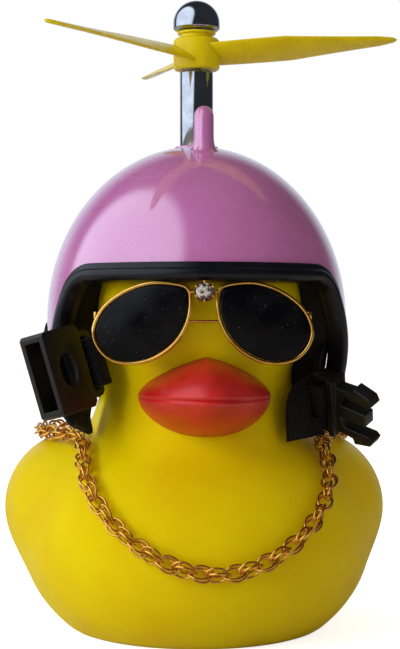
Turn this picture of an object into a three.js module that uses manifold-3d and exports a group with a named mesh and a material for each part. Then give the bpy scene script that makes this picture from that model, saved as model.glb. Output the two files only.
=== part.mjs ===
// A rubber duck for a dashboard: a hollow vinyl duck in an open-face toy helmet with a spinning
// propeller on a post, sunglasses, an unbuckled chin strap and a chain round its neck.
// Millimetres, +Z up. The duck looks along -Y and the origin is the middle of its flat base.

import * as THREE from 'three';
import { mergeVertices } from 'three/addons/utils/BufferGeometryUtils.js';
import Module from 'manifold-3d';

const wasm = await Module();
wasm.setup();

// Vinyl duck: each form is an egg given by its half sizes and its centre
const bodyHalfWidth = 36.5;
const bodyHalfLength = 40;
const bodyHalfHeight = 27;
const bodyCentreHeight = 19;
const bodyBack = 2;
const neckHalfWidth = 21.5;
const neckHalfDepth = 25;
const neckHalfHeight = 18;
const headHalfWidth = 22.3;
const headHalfDepth = 27.5;
const headHalfHeight = 27;
const headCentreHeight = 67;
const headForward = 1;
const wingHalfWidth = 16.4;
const wingHalfLength = 24;
const wingHalfHeight = 16;
const wingSpread = 24;
const wingHeight = 24.6;
const wingBack = 8;
const wingBlend = 3;
const tailHalfWidth = 11;
const tailHalfLength = 15;
const tailHalfHeight = 6;
const tailLift = 24;
const tailHeight = 27;
const neckBlend = 5;
const vinylWall = 2.2;
const billHalfWidth = 13.4;
const billReach = 11.5;
const lipThickness = 2.6;
const upperBillRise = 6.6;
const lowerBillDrop = 7;

// Squeaker in the base, behind the middle
const squeakerHoleRadius = 6;
const squeakerFlangeRadius = 7.2;
const squeakerFlangeDepth = 1.1;
const squeakerHeight = 6.4;
const squeakerWall = 1.1;
const squeakerBack = 14;
const reedThickness = 0.6;

// Helmet, from the head outwards
const seatGap = 0.3;
const crownGap = 0.6;
const templeRoom = 1.2;
const linerWall = 5.6;
const linerGap = 0.5;
const linerFrontExtra = -3.4;
const crownPad = 3.7;
const shellWall = 1.6;
const helmetDrop = 3;
const browRise = 6.1;
const lobeDrop = 15.5;
const napeDrop = 5;
const browCornerAngle = 55;
const lobeAngle = 80;
const napeCornerAngle = 97;
const browCornerRadius = 7;
const lobeRadius = 3.2;
const napeCornerRadius = 6;
const trimHalfHeight = 1.8;
const trimProud = 1.1;
const trimGap = 0.45;
const trimLeg = 0.6;
const lobeSharpness = 2.9;
const linerInset = 1;
const linerDrop = 9;
const halfSteps = 36;
const linerSteps = 28;
const linerRows = 7;
const pegRadius = 2.05;
const pegHeight = 8.8;
const pegForward = 8.5;
const pegOffset = 1;

// Propeller on its post
const postRadius = 3.5;
const postLength = 15.8;
const postBore = 1.25;
const axleRadius = 1;
const runningGap = 0.3;
const hubRadius = 4.85;
const hubHeight = 6.6;
const hubNeckRadius = 3.4;
const hubNeckHeight = 0.9;
const hubLipRadius = 4;
const hubLipHeight = 0.5;
const propellerRadius = 42;
const bladeCount = 3;
const bladeFirstAngle = -17;
const bladeRootChord = 7.5;
const bladeWideChord = 9.4;
const bladeTipChord = 3.6;
const bladeThickness = 1.1;
const bladeRootPitch = -30;
const bladeTipPitch = -14;
const bladeRise = 1.4;
const capRadius = 4.9;
const capHeight = 6.3;
const capSkirt = 1.6;
const screwHeadRadius = 2.6;
const screwHeadHeight = 1.4;
const screwLength = 6.5;

// Sunglasses, worn in front of the face with their middle a little to the duck's right
const rimRadius = 0.38;
const bridgeRadius = 0.28;
const glassesOffset = -0.5;
const glassesClear = 3.2;
const glassesWrap = 8;
const lensThickness = 0.8;
const lensHeight = 15.2;
const lensWidth = 18.4;
const bridgeGap = 5.2;
const lensDrop = 11.4;
const lowerBridgeRise = 8;
const cupRadius = 2.1;
const cupDepth = 1.5;
const cupWall = 0.3;

// Chin strap with its side-release buckle hanging open
const strapWidth = 10;
const strapThickness = 1.1;
const socketWidth = 16.6;
const socketLength = 14.4;
const socketThickness = 6.4;
const socketWall = 1.15;
const socketMouthDepth = 9.2;
const socketTilt = 16;
const socketYaw = 46;
const plugWidth = 13.6;
const plugBaseLength = 5.2;
const plugThickness = 3;
const prongLength = 9;
const slotLength = 2.4;
const slotMargin = 1.5;

// Chain round the neck
const linkPitch = 3.2;
const linkWidth = 3.4;
const linkWire = 0.36;
const chainLowPoint = 16.6;
const chainNeckHeight = 40.5;
const chainSpread = 1.25;
const chainTurn = 2.4;
const claspLength = 6.5;
const claspRadius = 1.5;

const deg = Math.PI / 180;
const shortestEdge = 0.005;
const vec = (x, y, z) => new THREE.Vector3(x, y, z);
const lerp = THREE.MathUtils.lerp;

// Solids

// Joins rings of points into one closed skin. Open ends are closed on the poles given, or else on
// the middle of the end ring.
function loft(rings, closed = false, poles = []) {
  const around = rings[0].length;
  const positions = rings.flat().flatMap((p) => [p.x, p.y, p.z]);
  const index = [];
  const last = closed ? rings.length : rings.length - 1;
  for (let row = 0; row < last; row += 1) {
    const nextRow = (row + 1) % rings.length;
    for (let i = 0; i < around; i += 1) {
      const j = (i + 1) % around;
      const a = row * around + i;
      const b = row * around + j;
      const c = nextRow * around + j;
      const d = nextRow * around + i;
      index.push(a, b, c, a, c, d);
    }
  }
  if (!closed) {
    for (const [end, row] of [[0, 0], [1, rings.length - 1]]) {
      const sum = rings[row].reduce((total, p) => total.add(p), vec(0, 0, 0));
      const pole = poles[end] ?? sum.divideScalar(around);
      const centre = positions.length / 3;
      positions.push(pole.x, pole.y, pole.z);
      for (let i = 0; i < around; i += 1) {
        const a = row * around + i;
        const b = row * around + (i + 1) % around;
        index.push(...(row === 0 ? [b, a, centre] : [a, b, centre]));
      }
    }
  }
  const geometry = new THREE.BufferGeometry();
  geometry.setAttribute('position', new THREE.Float32BufferAttribute(positions, 3));
  geometry.setIndex(index);
  return geometry;
}

// Merges shared points, drops flat triangles, and turns the faces outwards.
function cleaned(geometry) {
  const bare = geometry.clone();
  bare.deleteAttribute('normal');
  bare.deleteAttribute('uv');
  const merged = mergeVertices(bare, 1e-4);
  const p = merged.attributes.position;
  const corner = (i) => vec(p.getX(i), p.getY(i), p.getZ(i));
  const kept = [];
  let volume = 0;
  for (let i = 0; i < merged.index.count; i += 3) {
    const [a, b, c] = [0, 1, 2].map((k) => merged.index.getX(i + k));
    if (a === b || b === c || c === a) continue;
    kept.push([a, b, c]);
    volume += corner(a).dot(corner(b).cross(corner(c)));
  }
  merged.setIndex(kept.flatMap(([a, b, c]) => (volume < 0 ? [a, c, b] : [a, b, c])));
  return merged;
}

function toSolid(geometry) {
  const ready = cleaned(geometry);
  return new wasm.Manifold(new wasm.Mesh({
    numProp: 3,
    vertProperties: new Float32Array(ready.attributes.position.array),
    triVerts: new Uint32Array(ready.index.array),
  }));
}

function toGeometry(solid) {
  const mesh = solid.simplify(shortestEdge).getMesh();
  const geometry = new THREE.BufferGeometry();
  geometry.setAttribute('position', new THREE.Float32BufferAttribute(mesh.vertProperties, 3));
  geometry.setIndex(Array.from(mesh.triVerts));
  return geometry;
}

const joined = (first, ...rest) => rest.reduce((sum, solid) => sum.add(solid), first);
const without = (first, ...rest) => rest.reduce((sum, solid) => sum.subtract(solid), first);
const moved = (geometry, x, y, z) => geometry.clone().translate(x, y, z);

// A turned shape about the Z axis from [radius, height] pairs.
function turned(profile, segments = 24) {
  const points = profile.map(([r, z]) => new THREE.Vector2(r, z));
  return new THREE.LatheGeometry(points, segments).rotateX(Math.PI / 2);
}

const rod = (radius, bottom, top, segments = 16) =>
  turned([[0, bottom], [radius, bottom], [radius, top], [0, top]], segments);

// Stations along a route: a point, the way the width lies, and the way the thickness lies.
function stationsAlong(points, facing, closed = false) {
  return points.map((point, i) => {
    const before = points[closed ? (i + points.length - 1) % points.length : Math.max(i - 1, 0)];
    const after = points[closed ? (i + 1) % points.length : Math.min(i + 1, points.length - 1)];
    const along = after.clone().sub(before).normalize();
    const out = facing(point, i).clone();
    out.addScaledVector(along, -out.dot(along)).normalize();
    const across = vec(0, 0, 0).crossVectors(along, out);
    return { point, across, out };
  });
}

// Sweeps a section of [across, out] pairs along stations.
function sweep(stations, section, closed = false) {
  const rings = stations.map(({ point, across, out }) => section.map(([a, o]) =>
    point.clone().addScaledVector(across, a).addScaledVector(out, o)));
  return loft(rings, closed);
}

const roundSection = (radius, sides) => Array.from({ length: sides }, (_, i) => {
  const angle = 2 * Math.PI * i / sides;
  return [radius * Math.cos(angle), radius * Math.sin(angle)];
});

const flatSection = (width, thickness) => [
  [-width / 2, -thickness / 2],
  [width / 2, -thickness / 2],
  [width / 2, thickness / 2],
  [-width / 2, thickness / 2],
];

// Duck

function eggDistance(p, centre, radii) {
  const q = p.clone().sub(centre);
  const scaled = q.clone().divide(radii);
  const near = scaled.length();
  return near * (near - 1) / Math.max(scaled.divide(radii).length(), 1e-6);
}

function softJoin(a, b, blend) {
  const mix = Math.max(blend - Math.abs(a - b), 0) / blend;
  return Math.min(a, b) - mix * mix * blend / 4;
}

const bodyCentre = vec(0, bodyBack, bodyCentreHeight);
const bodyRadii = vec(bodyHalfWidth, bodyHalfLength, bodyHalfHeight);
const headCentre = vec(0, -headForward, headCentreHeight);
const headRadii = vec(headHalfWidth, headHalfDepth, headHalfHeight);
const neckCentre = vec(0, -headForward, headCentreHeight - headHalfHeight + 2);
const neckRadii = vec(neckHalfWidth, neckHalfDepth, neckHalfHeight);
const wingRadii = vec(wingHalfWidth, wingHalfLength, wingHalfHeight);
const tailRadii = vec(tailHalfWidth, tailHalfLength, tailHalfHeight);
const tailCentre = vec(0, bodyBack + bodyHalfLength - 8, tailHeight);

function tailDistance(p) {
  const q = p.clone().sub(tailCentre).applyAxisAngle(vec(1, 0, 0), -tailLift * deg);
  return eggDistance(q, vec(0, 0, 0), tailRadii);
}

// How far a point lies outside the duck's skin, below zero inside it.
function duckDistance(p) {
  const mirrored = vec(Math.abs(p.x), p.y, p.z);
  const wing = eggDistance(mirrored, vec(wingSpread, wingBack, wingHeight), wingRadii);
  const trunk = softJoin(eggDistance(p, bodyCentre, bodyRadii), wing, wingBlend);
  const rear = softJoin(trunk, tailDistance(p), neckBlend);
  const upper = softJoin(eggDistance(p, headCentre, headRadii),
    eggDistance(p, neckCentre, neckRadii), neckBlend);
  return softJoin(rear, upper, neckBlend);
}

const skinCentre = vec(0, 0, bodyCentreHeight + bodyHalfHeight - 4);

// Walks out from a point inside the duck, along a direction, to a set distance from its skin.
function skinPoint(from, direction, offset = 0) {
  let near = 0;
  let far = 2 * bodyHalfLength;
  for (let step = 0; step < 36; step += 1) {
    const middle = (near + far) / 2;
    const outside = duckDistance(from.clone().addScaledVector(direction, middle)) > offset;
    if (outside) far = middle;
    else near = middle;
  }
  return from.clone().addScaledVector(direction, near);
}

function duckSkin(offset, around, rows) {
  const rings = [];
  for (let row = 1; row < rows; row += 1) {
    const fall = Math.PI * row / rows;
    rings.push(Array.from({ length: around }, (_, i) => {
      const turn = 2 * Math.PI * i / around;
      const flat = Math.sin(fall);
      const direction = vec(flat * Math.cos(turn), flat * Math.sin(turn), Math.cos(fall));
      return skinPoint(skinCentre, direction, offset);
    }));
  }
  const poles = [1, -1].map((way) => skinPoint(skinCentre, vec(0, 0, way), offset));
  return toSolid(loft(rings, false, poles));
}

const billLine = headCentreHeight - 18;
const billRootDepth = headForward + headHalfDepth * 0.74;

function billHalf(rise, halfWidth, reach, around = 16, rows = 6) {
  const rings = [];
  for (let row = 1; row < rows; row += 1) {
    const fall = Math.PI * row / rows;
    rings.push(Array.from({ length: around }, (_, i) => {
      const turn = 2 * Math.PI * i / around;
      const x = halfWidth * Math.sin(fall) * Math.cos(turn);
      const y = -reach * Math.sin(fall) * Math.sin(turn);
      return vec(x, y - billRootDepth, billLine + rise * Math.cos(fall));
    }));
  }
  const poles = [1, -1].map((way) => vec(0, -billRootDepth, billLine + way * rise));
  return toSolid(loft(rings, false, poles));
}

function duckBody() {
  const size = 4 * bodyHalfLength;
  const under = (top) => toSolid(new THREE.BoxGeometry(size, size, size).translate(0, 0, top - size / 2));
  const skin = without(duckSkin(0, 36, 26), under(0));
  const hollow = without(duckSkin(-vinylWall, 18, 12), under(vinylWall));
  const billDepth = billReach + headHalfDepth * 0.26;
  const lips = billHalf(lipThickness, billHalfWidth, billDepth);
  const upper = billHalf(upperBillRise + 1.2, billHalfWidth * 0.78, billDepth * 0.9);
  const lower = billHalf(lowerBillDrop + 1.2, billHalfWidth * 0.7, billDepth * 0.84);
  const hole = moved(rod(squeakerHoleRadius, -1, vinylWall + 1, 24), 0, squeakerBack, 0);
  const seat = moved(rod(squeakerFlangeRadius, -1, squeakerFlangeDepth, 24), 0, squeakerBack, 0);
  return toGeometry(without(joined(skin, lips, upper, lower), hollow, toSolid(hole), toSolid(seat)));
}

// Squeaker

function squeakerHousing() {
  const barrel = squeakerHoleRadius - seatGap;
  const flange = squeakerFlangeRadius - seatGap;
  const flangeTop = squeakerFlangeDepth - seatGap;
  const bead = vinylWall + seatGap;
  const profile = [
    [barrel - squeakerWall, 0.3],
    [flange, 0.3],
    [flange, flangeTop],
    [barrel, flangeTop],
    [barrel, bead],
    [barrel + 0.7, bead + 0.4],
    [barrel, bead + 1.2],
    [barrel, squeakerHeight],
    [squeakerWall, squeakerHeight],
    [squeakerWall, squeakerHeight - squeakerWall],
    [barrel - squeakerWall, squeakerHeight - squeakerWall],
    [barrel - squeakerWall, 0.3],
  ];
  return moved(turned(profile), 0, squeakerBack, 0);
}

function squeakerReed() {
  const radius = squeakerHoleRadius - squeakerWall - 2 * seatGap;
  const top = squeakerHeight - squeakerWall - seatGap;
  return moved(rod(radius, top - reedThickness, top), 0, squeakerBack, 0);
}

// Helmet

const helmetCentre = vec(0, 0, headCentreHeight - helmetDrop);
const helmetTop = headCentreHeight + headHalfHeight + crownGap + seatGap + crownPad + shellWall;
const sideStack = templeRoom + linerWall + linerGap + shellWall;
const helmetRadii = vec(headHalfWidth + sideStack, headHalfDepth + sideStack + linerFrontExtra,
  helmetTop - helmetCentre.z);

const grown = (radii, by) => vec(radii.x + by, radii.y + by, radii.z + by);

function onEgg(centre, radii, turn, fall) {
  return vec(centre.x + radii.x * Math.sin(fall) * Math.sin(turn),
    centre.y - radii.y * Math.sin(fall) * Math.cos(turn), centre.z + radii.z * Math.cos(fall));
}

function eggNormal(p, centre, radii) {
  return p.clone().sub(centre).divide(radii).divide(radii).normalize();
}

// A line with its corners rounded, drawn on the helmet laid out flat.
function roundedLine(corners, radii) {
  const path = new THREE.Path();
  path.moveTo(corners[0].x, corners[0].y);
  for (let i = 1; i < corners.length - 1; i += 1) {
    const back = corners[i - 1].clone().sub(corners[i]).normalize();
    const ahead = corners[i + 1].clone().sub(corners[i]).normalize();
    const half = Math.acos(back.dot(ahead)) / 2;
    const reach = radii[i - 1] / Math.tan(half);
    const start = corners[i].clone().addScaledVector(back, reach);
    const end = corners[i].clone().addScaledVector(ahead, reach);
    const inward = back.clone().add(ahead).normalize();
    const centre = corners[i].clone().addScaledVector(inward, radii[i - 1] / Math.sin(half));
    const from = Math.atan2(start.y - centre.y, start.x - centre.x);
    const to = Math.atan2(end.y - centre.y, end.x - centre.x);
    path.lineTo(start.x, start.y);
    path.absarc(centre.x, centre.y, radii[i - 1], from, to, back.cross(ahead) > 0);
  }
  path.lineTo(corners.at(-1).x, corners.at(-1).y);
  return path;
}

// The edge of the helmet from the brow to the nape, as [turn, height] pairs all the way round. The
// inset, in degrees, narrows the lobes.
function edgeLine(brow, lobe, nape, inset, steps) {
  const flat = helmetRadii.x;
  const corners = [
    new THREE.Vector2(0, brow),
    new THREE.Vector2((browCornerAngle + inset) * deg * flat, brow),
    new THREE.Vector2(lobeAngle * deg * flat, lobe),
    new THREE.Vector2((napeCornerAngle - inset) * deg * flat, nape),
    new THREE.Vector2(Math.PI * flat, nape),
  ];
  const radii = [browCornerRadius, lobeRadius, napeCornerRadius];
  const half = roundedLine(corners, radii).getSpacedPoints(steps).map((p) => [p.x / flat, p.y]);
  const other = half.slice(1, -1).reverse().map(([turn, z]) => [2 * Math.PI - turn, z]);
  return [...half, ...other];
}

const browHeight = headCentreHeight + browRise;
const lobeHeight = headCentreHeight - lobeDrop;
const napeHeight = headCentreHeight - napeDrop;
const shellEdge = edgeLine(browHeight, lobeHeight - lobeSharpness, napeHeight, 0, halfSteps);
const linerLift = trimHalfHeight + 2 * seatGap;
const linerEdge = edgeLine(browHeight + linerLift, lobeHeight - linerDrop,
  napeHeight + linerLift, linerInset, linerSteps);

const fallAt = (height, centre, radii) => Math.acos((height - centre.z) / radii.z);

function domeRings(centre, radii, edge, rows) {
  const rings = [];
  for (let row = 1; row <= rows; row += 1) {
    rings.push(edge.map(([turn, height]) => {
      const fall = fallAt(height, centre, radii) * row / rows;
      return onEgg(centre, radii, turn, fall);
    }));
  }
  return rings;
}

function shellBetween(centre, radii, innerCentre, innerRadii, edge, rows) {
  const outer = domeRings(centre, radii, edge, rows);
  const inner = domeRings(innerCentre, innerRadii, edge, rows).reverse();
  const poles = [[centre, radii], [innerCentre, innerRadii]].map(([c, r]) => vec(c.x, c.y, c.z + r.z));
  return toSolid(loft([...outer, ...inner], false, poles));
}

function helmetShell() {
  const shell = shellBetween(helmetCentre, helmetRadii, helmetCentre,
    grown(helmetRadii, -shellWall), shellEdge, 6);
  const boss = rod(postRadius + 0.8, helmetTop - shellWall * 0.8, helmetTop, 24);
  const screwHole = rod(postBore, helmetTop - 2 * shellWall, helmetTop + 1);
  const screwSeat = rod(screwHeadRadius + seatGap, helmetTop - 3 * shellWall, helmetTop - shellWall);
  const pegTop = helmetTop - 1.2 + pegHeight;
  const peg = turned([
    [0, helmetTop - shellWall - 0.9],
    [pegRadius * 1.12, helmetTop - shellWall - 0.9],
    [pegRadius, pegTop - pegRadius],
    [pegRadius * 0.75, pegTop - pegRadius * 0.35],
    [0, pegTop],
  ], 14);
  const pegSolid = toSolid(moved(peg, pegOffset, -pegForward, 0));
  return toGeometry(without(joined(shell, toSolid(boss), pegSolid),
    toSolid(screwHole), toSolid(screwSeat)));
}

function edgeStations(edge, centre, radii) {
  const points = edge.map(([turn, height]) =>
    onEgg(centre, radii, turn, fallAt(height, centre, radii)));
  return stationsAlong(points, (p) => eggNormal(p, centre, radii), true);
}

// The rubber edging is a channel over the shell's edge with a lip along its top.
function helmetTrim() {
  const reach = trimHalfHeight;
  const back = -shellWall - trimGap;
  const section = [
    [-reach, trimGap],
    [-reach, trimProud * 0.75],
    [-reach * 0.15, trimProud * 0.8],
    [0, trimProud * 1.25],
    [reach * 0.75, trimProud * 1.1],
    [reach, 0],
    [reach * 0.7, back - trimLeg],
    [-reach * 0.6, back - trimLeg],
    [-reach * 0.6, back],
    [trimGap * 1.4, back],
    [trimGap * 1.4, trimGap],
  ];
  return sweep(edgeStations(shellEdge, helmetCentre, helmetRadii), section, true);
}

// Propeller

const postBottom = helmetTop + 0.05;
const postTop = postBottom + postLength;
const hubBottom = postTop + runningGap;
const hubTop = hubBottom + hubHeight;
const lipTop = hubTop + hubNeckHeight + hubLipHeight;
const capBottom = lipTop + runningGap;
const axleTop = capBottom + capHeight - 1.6;

function propellerPost() {
  const chamfer = 0.3;
  return turned([
    [postBore, postBottom],
    [postRadius, postBottom],
    [postRadius, postTop - chamfer],
    [postRadius - chamfer, postTop],
    [postBore, postTop],
    [postBore, postBottom],
  ]);
}

function postScrew() {
  const headTop = helmetTop - shellWall - 0.1;
  return turned([
    [0, headTop - screwHeadHeight],
    [screwHeadRadius * 0.7, headTop - screwHeadHeight],
    [screwHeadRadius, headTop - screwHeadHeight * 0.4],
    [screwHeadRadius, headTop],
    [axleRadius, headTop],
    [axleRadius, headTop + screwLength],
    [0, headTop + screwLength],
  ], 16);
}

function propellerAxle() {
  return rod(axleRadius, postTop - postLength / 2, axleTop);
}

function propellerCap() {
  const round = Array.from({ length: 6 }, (_, i) => {
    const angle = 90 * deg * i / 5;
    return [capRadius * Math.cos(angle), capBottom + capSkirt + (capHeight - capSkirt) * Math.sin(angle)];
  });
  return turned([
    [0, axleTop + runningGap],
    [axleRadius + 0.2, axleTop + runningGap],
    [axleRadius + 0.2, capBottom],
    [capRadius - 0.3, capBottom],
    [capRadius, capBottom + 0.3],
    ...round.slice(0, -1),
    [0, capBottom + capHeight],
  ], 20);
}

// One blade: the chord swells and then narrows to a round tip as the pitch eases off.
function propellerBlade(turn) {
  const along = vec(Math.cos(turn), Math.sin(turn), 0);
  const side = vec(-Math.sin(turn), Math.cos(turn), 0);
  const root = hubRadius * 0.7;
  const stations = [0, 0.08, 0.22, 0.4, 0.58, 0.74, 0.87, 0.95, 0.99];
  const rings = stations.map((share) => {
    const swell = Math.sin(Math.PI * Math.min(share / 0.62, 1) / 2);
    const wide = lerp(bladeRootChord, bladeWideChord, swell);
    const narrow = lerp(bladeWideChord, bladeTipChord, Math.max(share - 0.4, 0) / 0.6);
    const roundTip = share > 0.87 ? Math.sqrt(Math.max(1 - ((share - 0.87) / 0.13) ** 2, 0.05)) : 1;
    const chord = Math.min(wide, narrow) * roundTip;
    const pitch = lerp(bladeRootPitch, bladeTipPitch, share) * deg;
    const height = (hubBottom + hubTop) / 2 + bladeRise * share;
    const centre = along.clone().multiplyScalar(lerp(root, propellerRadius, share)).setZ(height);
    const lean = side.clone().multiplyScalar(Math.cos(pitch)).setZ(Math.sin(pitch));
    const face = vec(0, 0, 0).crossVectors(along, lean);
    return roundSection(1, 6).map(([a, b]) => centre.clone()
      .addScaledVector(lean, a * chord / 2)
      .addScaledVector(face, b * bladeThickness / 2));
  });
  return toSolid(loft(rings));
}

function propeller() {
  const bore = axleRadius + runningGap;
  const hub = toSolid(turned([
    [bore, hubBottom],
    [hubRadius - 0.4, hubBottom],
    [hubRadius, hubBottom + 0.4],
    [hubRadius, hubTop - 0.5],
    [hubRadius - 0.5, hubTop],
    [hubNeckRadius, hubTop],
    [hubNeckRadius, hubTop + hubNeckHeight],
    [hubLipRadius, hubTop + hubNeckHeight],
    [hubLipRadius, lipTop],
    [bore, lipTop],
    [bore, hubBottom],
  ], 20));
  const blades = Array.from({ length: bladeCount }, (_, i) =>
    propellerBlade(bladeFirstAngle * deg + 2 * Math.PI * i / bladeCount));
  const boreRod = toSolid(rod(bore, hubBottom - 1, lipTop + 1, 20));
  return toGeometry(without(joined(hub, ...blades), boreRod));
}

// Sunglasses

const lensBottomHeight = headCentreHeight - lensDrop;
const glassesFront = -(headForward + headHalfDepth + glassesClear);

// The aviator outline as shares of the lens's width and height, from the bridge outwards.
const lensOutline = [
  [0, 0.8],
  [0.03, 0.94],
  [0.2, 1],
  [0.43, 1],
  [0.7, 0.88],
  [0.91, 0.67],
  [1, 0.42],
  [0.97, 0.24],
  [0.85, 0.07],
  [0.65, 0],
  [0.45, 0.03],
  [0.27, 0.14],
  [0.13, 0.3],
  [0.03, 0.53],
];

function lensPoint(side, across, height) {
  const x = glassesOffset + side * (bridgeGap / 2 + across);
  return vec(x, glassesFront + across * Math.tan(glassesWrap * deg), height);
}

function lensLoop(side, steps, inset = 0) {
  const curve = new THREE.CatmullRomCurve3(lensOutline.map(([across, up]) =>
    vec(across * lensWidth, up * lensHeight, 0)), true);
  const flat = curve.getSpacedPoints(steps).slice(0, -1);
  const middle = vec(lensWidth / 2, lensHeight / 2, 0);
  return flat.map((p) => {
    const away = p.clone().sub(middle);
    const q = p.clone().addScaledVector(away, -inset / away.length());
    return lensPoint(side, q.x, lensBottomHeight + q.y);
  });
}

const lensFacing = (side) => vec(side * Math.sin(glassesWrap * deg), -Math.cos(glassesWrap * deg), 0);

function wire(points, radius, sides = 5) {
  const curve = new THREE.CatmullRomCurve3(points);
  const spaced = curve.getSpacedPoints(Math.max(2, Math.round(curve.getLength() / 2.4)));
  return toSolid(sweep(stationsAlong(spaced, () => vec(0, 0, 1)), roundSection(radius, sides)));
}

// The arm goes back between the cheek and the liner, close to the head.
function templePoints(side) {
  const start = lensPoint(side, lensWidth * 0.97, lensBottomHeight + lensHeight * 0.6);
  const room = grown(headRadii, templeRoom / 2);
  const height = start.z;
  const fall = fallAt(height, headCentre, room);
  const behind = [62, 76, 90, 104].map((angle) =>
    onEgg(headCentre, room, side * angle * deg, fall));
  return [start, ...behind];
}

function sunglassesFrame() {
  const rims = [-1, 1].map((side) => toSolid(sweep(
    stationsAlong(lensLoop(side, 30), () => lensFacing(side), true),
    roundSection(rimRadius, 5), true)));
  const temples = [-1, 1].map((side) => wire(templePoints(side), rimRadius));
  const barHeight = lensBottomHeight + lensHeight * 0.9;
  const bar = wire([lensPoint(-1, 0.1, barHeight), lensPoint(1, 0.1, barHeight)], rimRadius);
  const lower = wire([-1, 1].map((side) => lensPoint(side, 0.5, lensBottomHeight + lowerBridgeRise)), bridgeRadius);
  return toGeometry(joined(rims[0], rims[1], ...temples, bar, lower));
}

function lens(side) {
  const loop = lensLoop(side, 30, rimRadius + 0.12);
  const facing = lensFacing(side);
  const shift = (by) => loop.map((p) => p.clone().addScaledVector(facing, by));
  return loft([shift(-lensThickness / 2), shift(lensThickness / 2)]);
}

const jewelHeight = lensBottomHeight + lensHeight * 0.9;
const cupBack = glassesFront - rimRadius - 0.1;
const facingForward = (geometry, y) =>
  geometry.rotateX(Math.PI / 2).translate(glassesOffset, y, jewelHeight);

function jewelCup() {
  const inner = cupRadius - cupWall;
  return facingForward(turned([
    [0, 0],
    [cupRadius * 0.6, 0],
    [cupRadius, cupDepth * 0.75],
    [cupRadius, cupDepth],
    [inner, cupDepth],
    [inner, cupDepth * 0.8],
    [cupRadius * 0.5, cupWall],
    [0, cupWall],
  ], 18), cupBack);
}

function bridgeJewel() {
  const radius = cupRadius - cupWall - 0.15;
  const base = cupWall + 0.25;
  return facingForward(turned([
    [0, base],
    [radius, cupDepth - 0.05],
    [radius, cupDepth + 0.15],
    [radius * 0.58, cupDepth + 0.6],
    [0, cupDepth + 0.6],
  ], 8), cupBack);
}

// Buckle: each half is built with its length along Y, its width along X and its mouth at -Y

function plate(outline, holes, thickness) {
  const shape = new THREE.Shape(outline.map(([x, y]) => new THREE.Vector2(x, y)));
  shape.holes = holes.map((hole) => new THREE.Path(hole.map(([x, y]) => new THREE.Vector2(x, y))));
  return new THREE.ExtrudeGeometry(shape, { depth: thickness, bevelEnabled: false })
    .translate(0, 0, -thickness / 2);
}

const slotOutline = (rear) => [
  [-strapWidth / 2 - 0.4, rear - slotMargin - slotLength],
  [-strapWidth / 2 - 0.4, rear - slotMargin],
  [strapWidth / 2 + 0.4, rear - slotMargin],
  [strapWidth / 2 + 0.4, rear - slotMargin - slotLength],
];

function buckleSocket() {
  const half = socketWidth / 2;
  const rear = socketLength;
  const outline = [
    [-half + 0.6, 0],
    [half - 0.6, 0],
    [half, 0.6],
    [half, rear * 0.62],
    [half - 1.6, rear * 0.72],
    [half - 1.6, rear - 0.8],
    [half - 2.4, rear],
    [-half + 2.4, rear],
    [-half + 1.6, rear - 0.8],
    [-half + 1.6, rear * 0.72],
    [-half, rear * 0.62],
    [-half, 0.6],
  ];
  const body = toSolid(plate(outline, [slotOutline(rear)], socketThickness));
  const room = socketThickness - 2 * socketWall;
  const mouth = new THREE.BoxGeometry(socketWidth - 2.6 * socketWall, socketMouthDepth + 1, room)
    .translate(0, socketMouthDepth / 2 - 0.5, 0);
  const window = roundSection(1, 14).map(([a, b]) => [a * 3.4, socketMouthDepth * 0.5 + b * 2.2]);
  const thumbHole = plate(window, [], socketThickness).translate(0, 0, -socketThickness / 2);
  const thin = new THREE.BoxGeometry(socketWidth + 1, rear * 0.5, socketThickness)
    .translate(0, rear * 0.93, -socketThickness * 0.72);
  return toGeometry(without(body, toSolid(mouth), toSolid(thumbHole), toSolid(thin)));
}

function bucklePlug() {
  const half = plugWidth / 2;
  const base = plugBaseLength;
  const tip = -prongLength;
  const outline = [
    [-half, base],
    [-half, 0],
    [-half + 1.4, -0.6],
    [-half + 1.1, tip * 0.45],
    [-half - 0.1, tip * 0.5],
    [-half + 0.9, tip * 0.92],
    [-half + 2.4, tip],
    [-half + 3.2, tip * 0.9],
    [-half + 3, tip * 0.25],
    [-1.5, tip * 0.12],
    [-1.5, tip * 0.8],
    [1.5, tip * 0.8],
    [1.5, tip * 0.12],
    [half - 3, tip * 0.25],
    [half - 3.2, tip * 0.9],
    [half - 2.4, tip],
    [half - 0.9, tip * 0.92],
    [half + 0.1, tip * 0.5],
    [half - 1.1, tip * 0.45],
    [half - 1.4, -0.6],
    [half, 0],
    [half, base],
  ];
  const arms = toSolid(plate(outline, [slotOutline(base)], plugThickness));
  const collar = new THREE.BoxGeometry(plugWidth, 1.4, plugThickness + 1.6).translate(0, 0.7, 0);
  return toGeometry(joined(arms, toSolid(collar)));
}

// Where a buckle half lies: its directions, and its slot's middle as the origin of the strap's loop.
function buckleFrame(place, widthWay, mouthWay, length) {
  const mouth = mouthWay.clone().normalize();
  const across = widthWay.clone().addScaledVector(mouth, -widthWay.dot(mouth)).normalize();
  const rear = mouth.clone().negate();
  const out = vec(0, 0, 0).crossVectors(across, rear);
  const slot = place.clone().addScaledVector(rear, length - slotMargin - slotLength / 2);
  const matrix = new THREE.Matrix4().makeBasis(across, rear, out).setPosition(place);
  const at = (back, outward, along = 0) => slot.clone().addScaledVector(rear, back)
    .addScaledVector(out, outward).addScaledVector(across, along);
  return { across, rear, out, matrix, at };
}

// A place beside the helmet: how far in from its side, back from its front and below its middle.
const besideHelmet = (side, inward, back, below) =>
  vec(side * (helmetRadii.x - inward), back - helmetRadii.y, helmetCentre.z - below);

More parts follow.
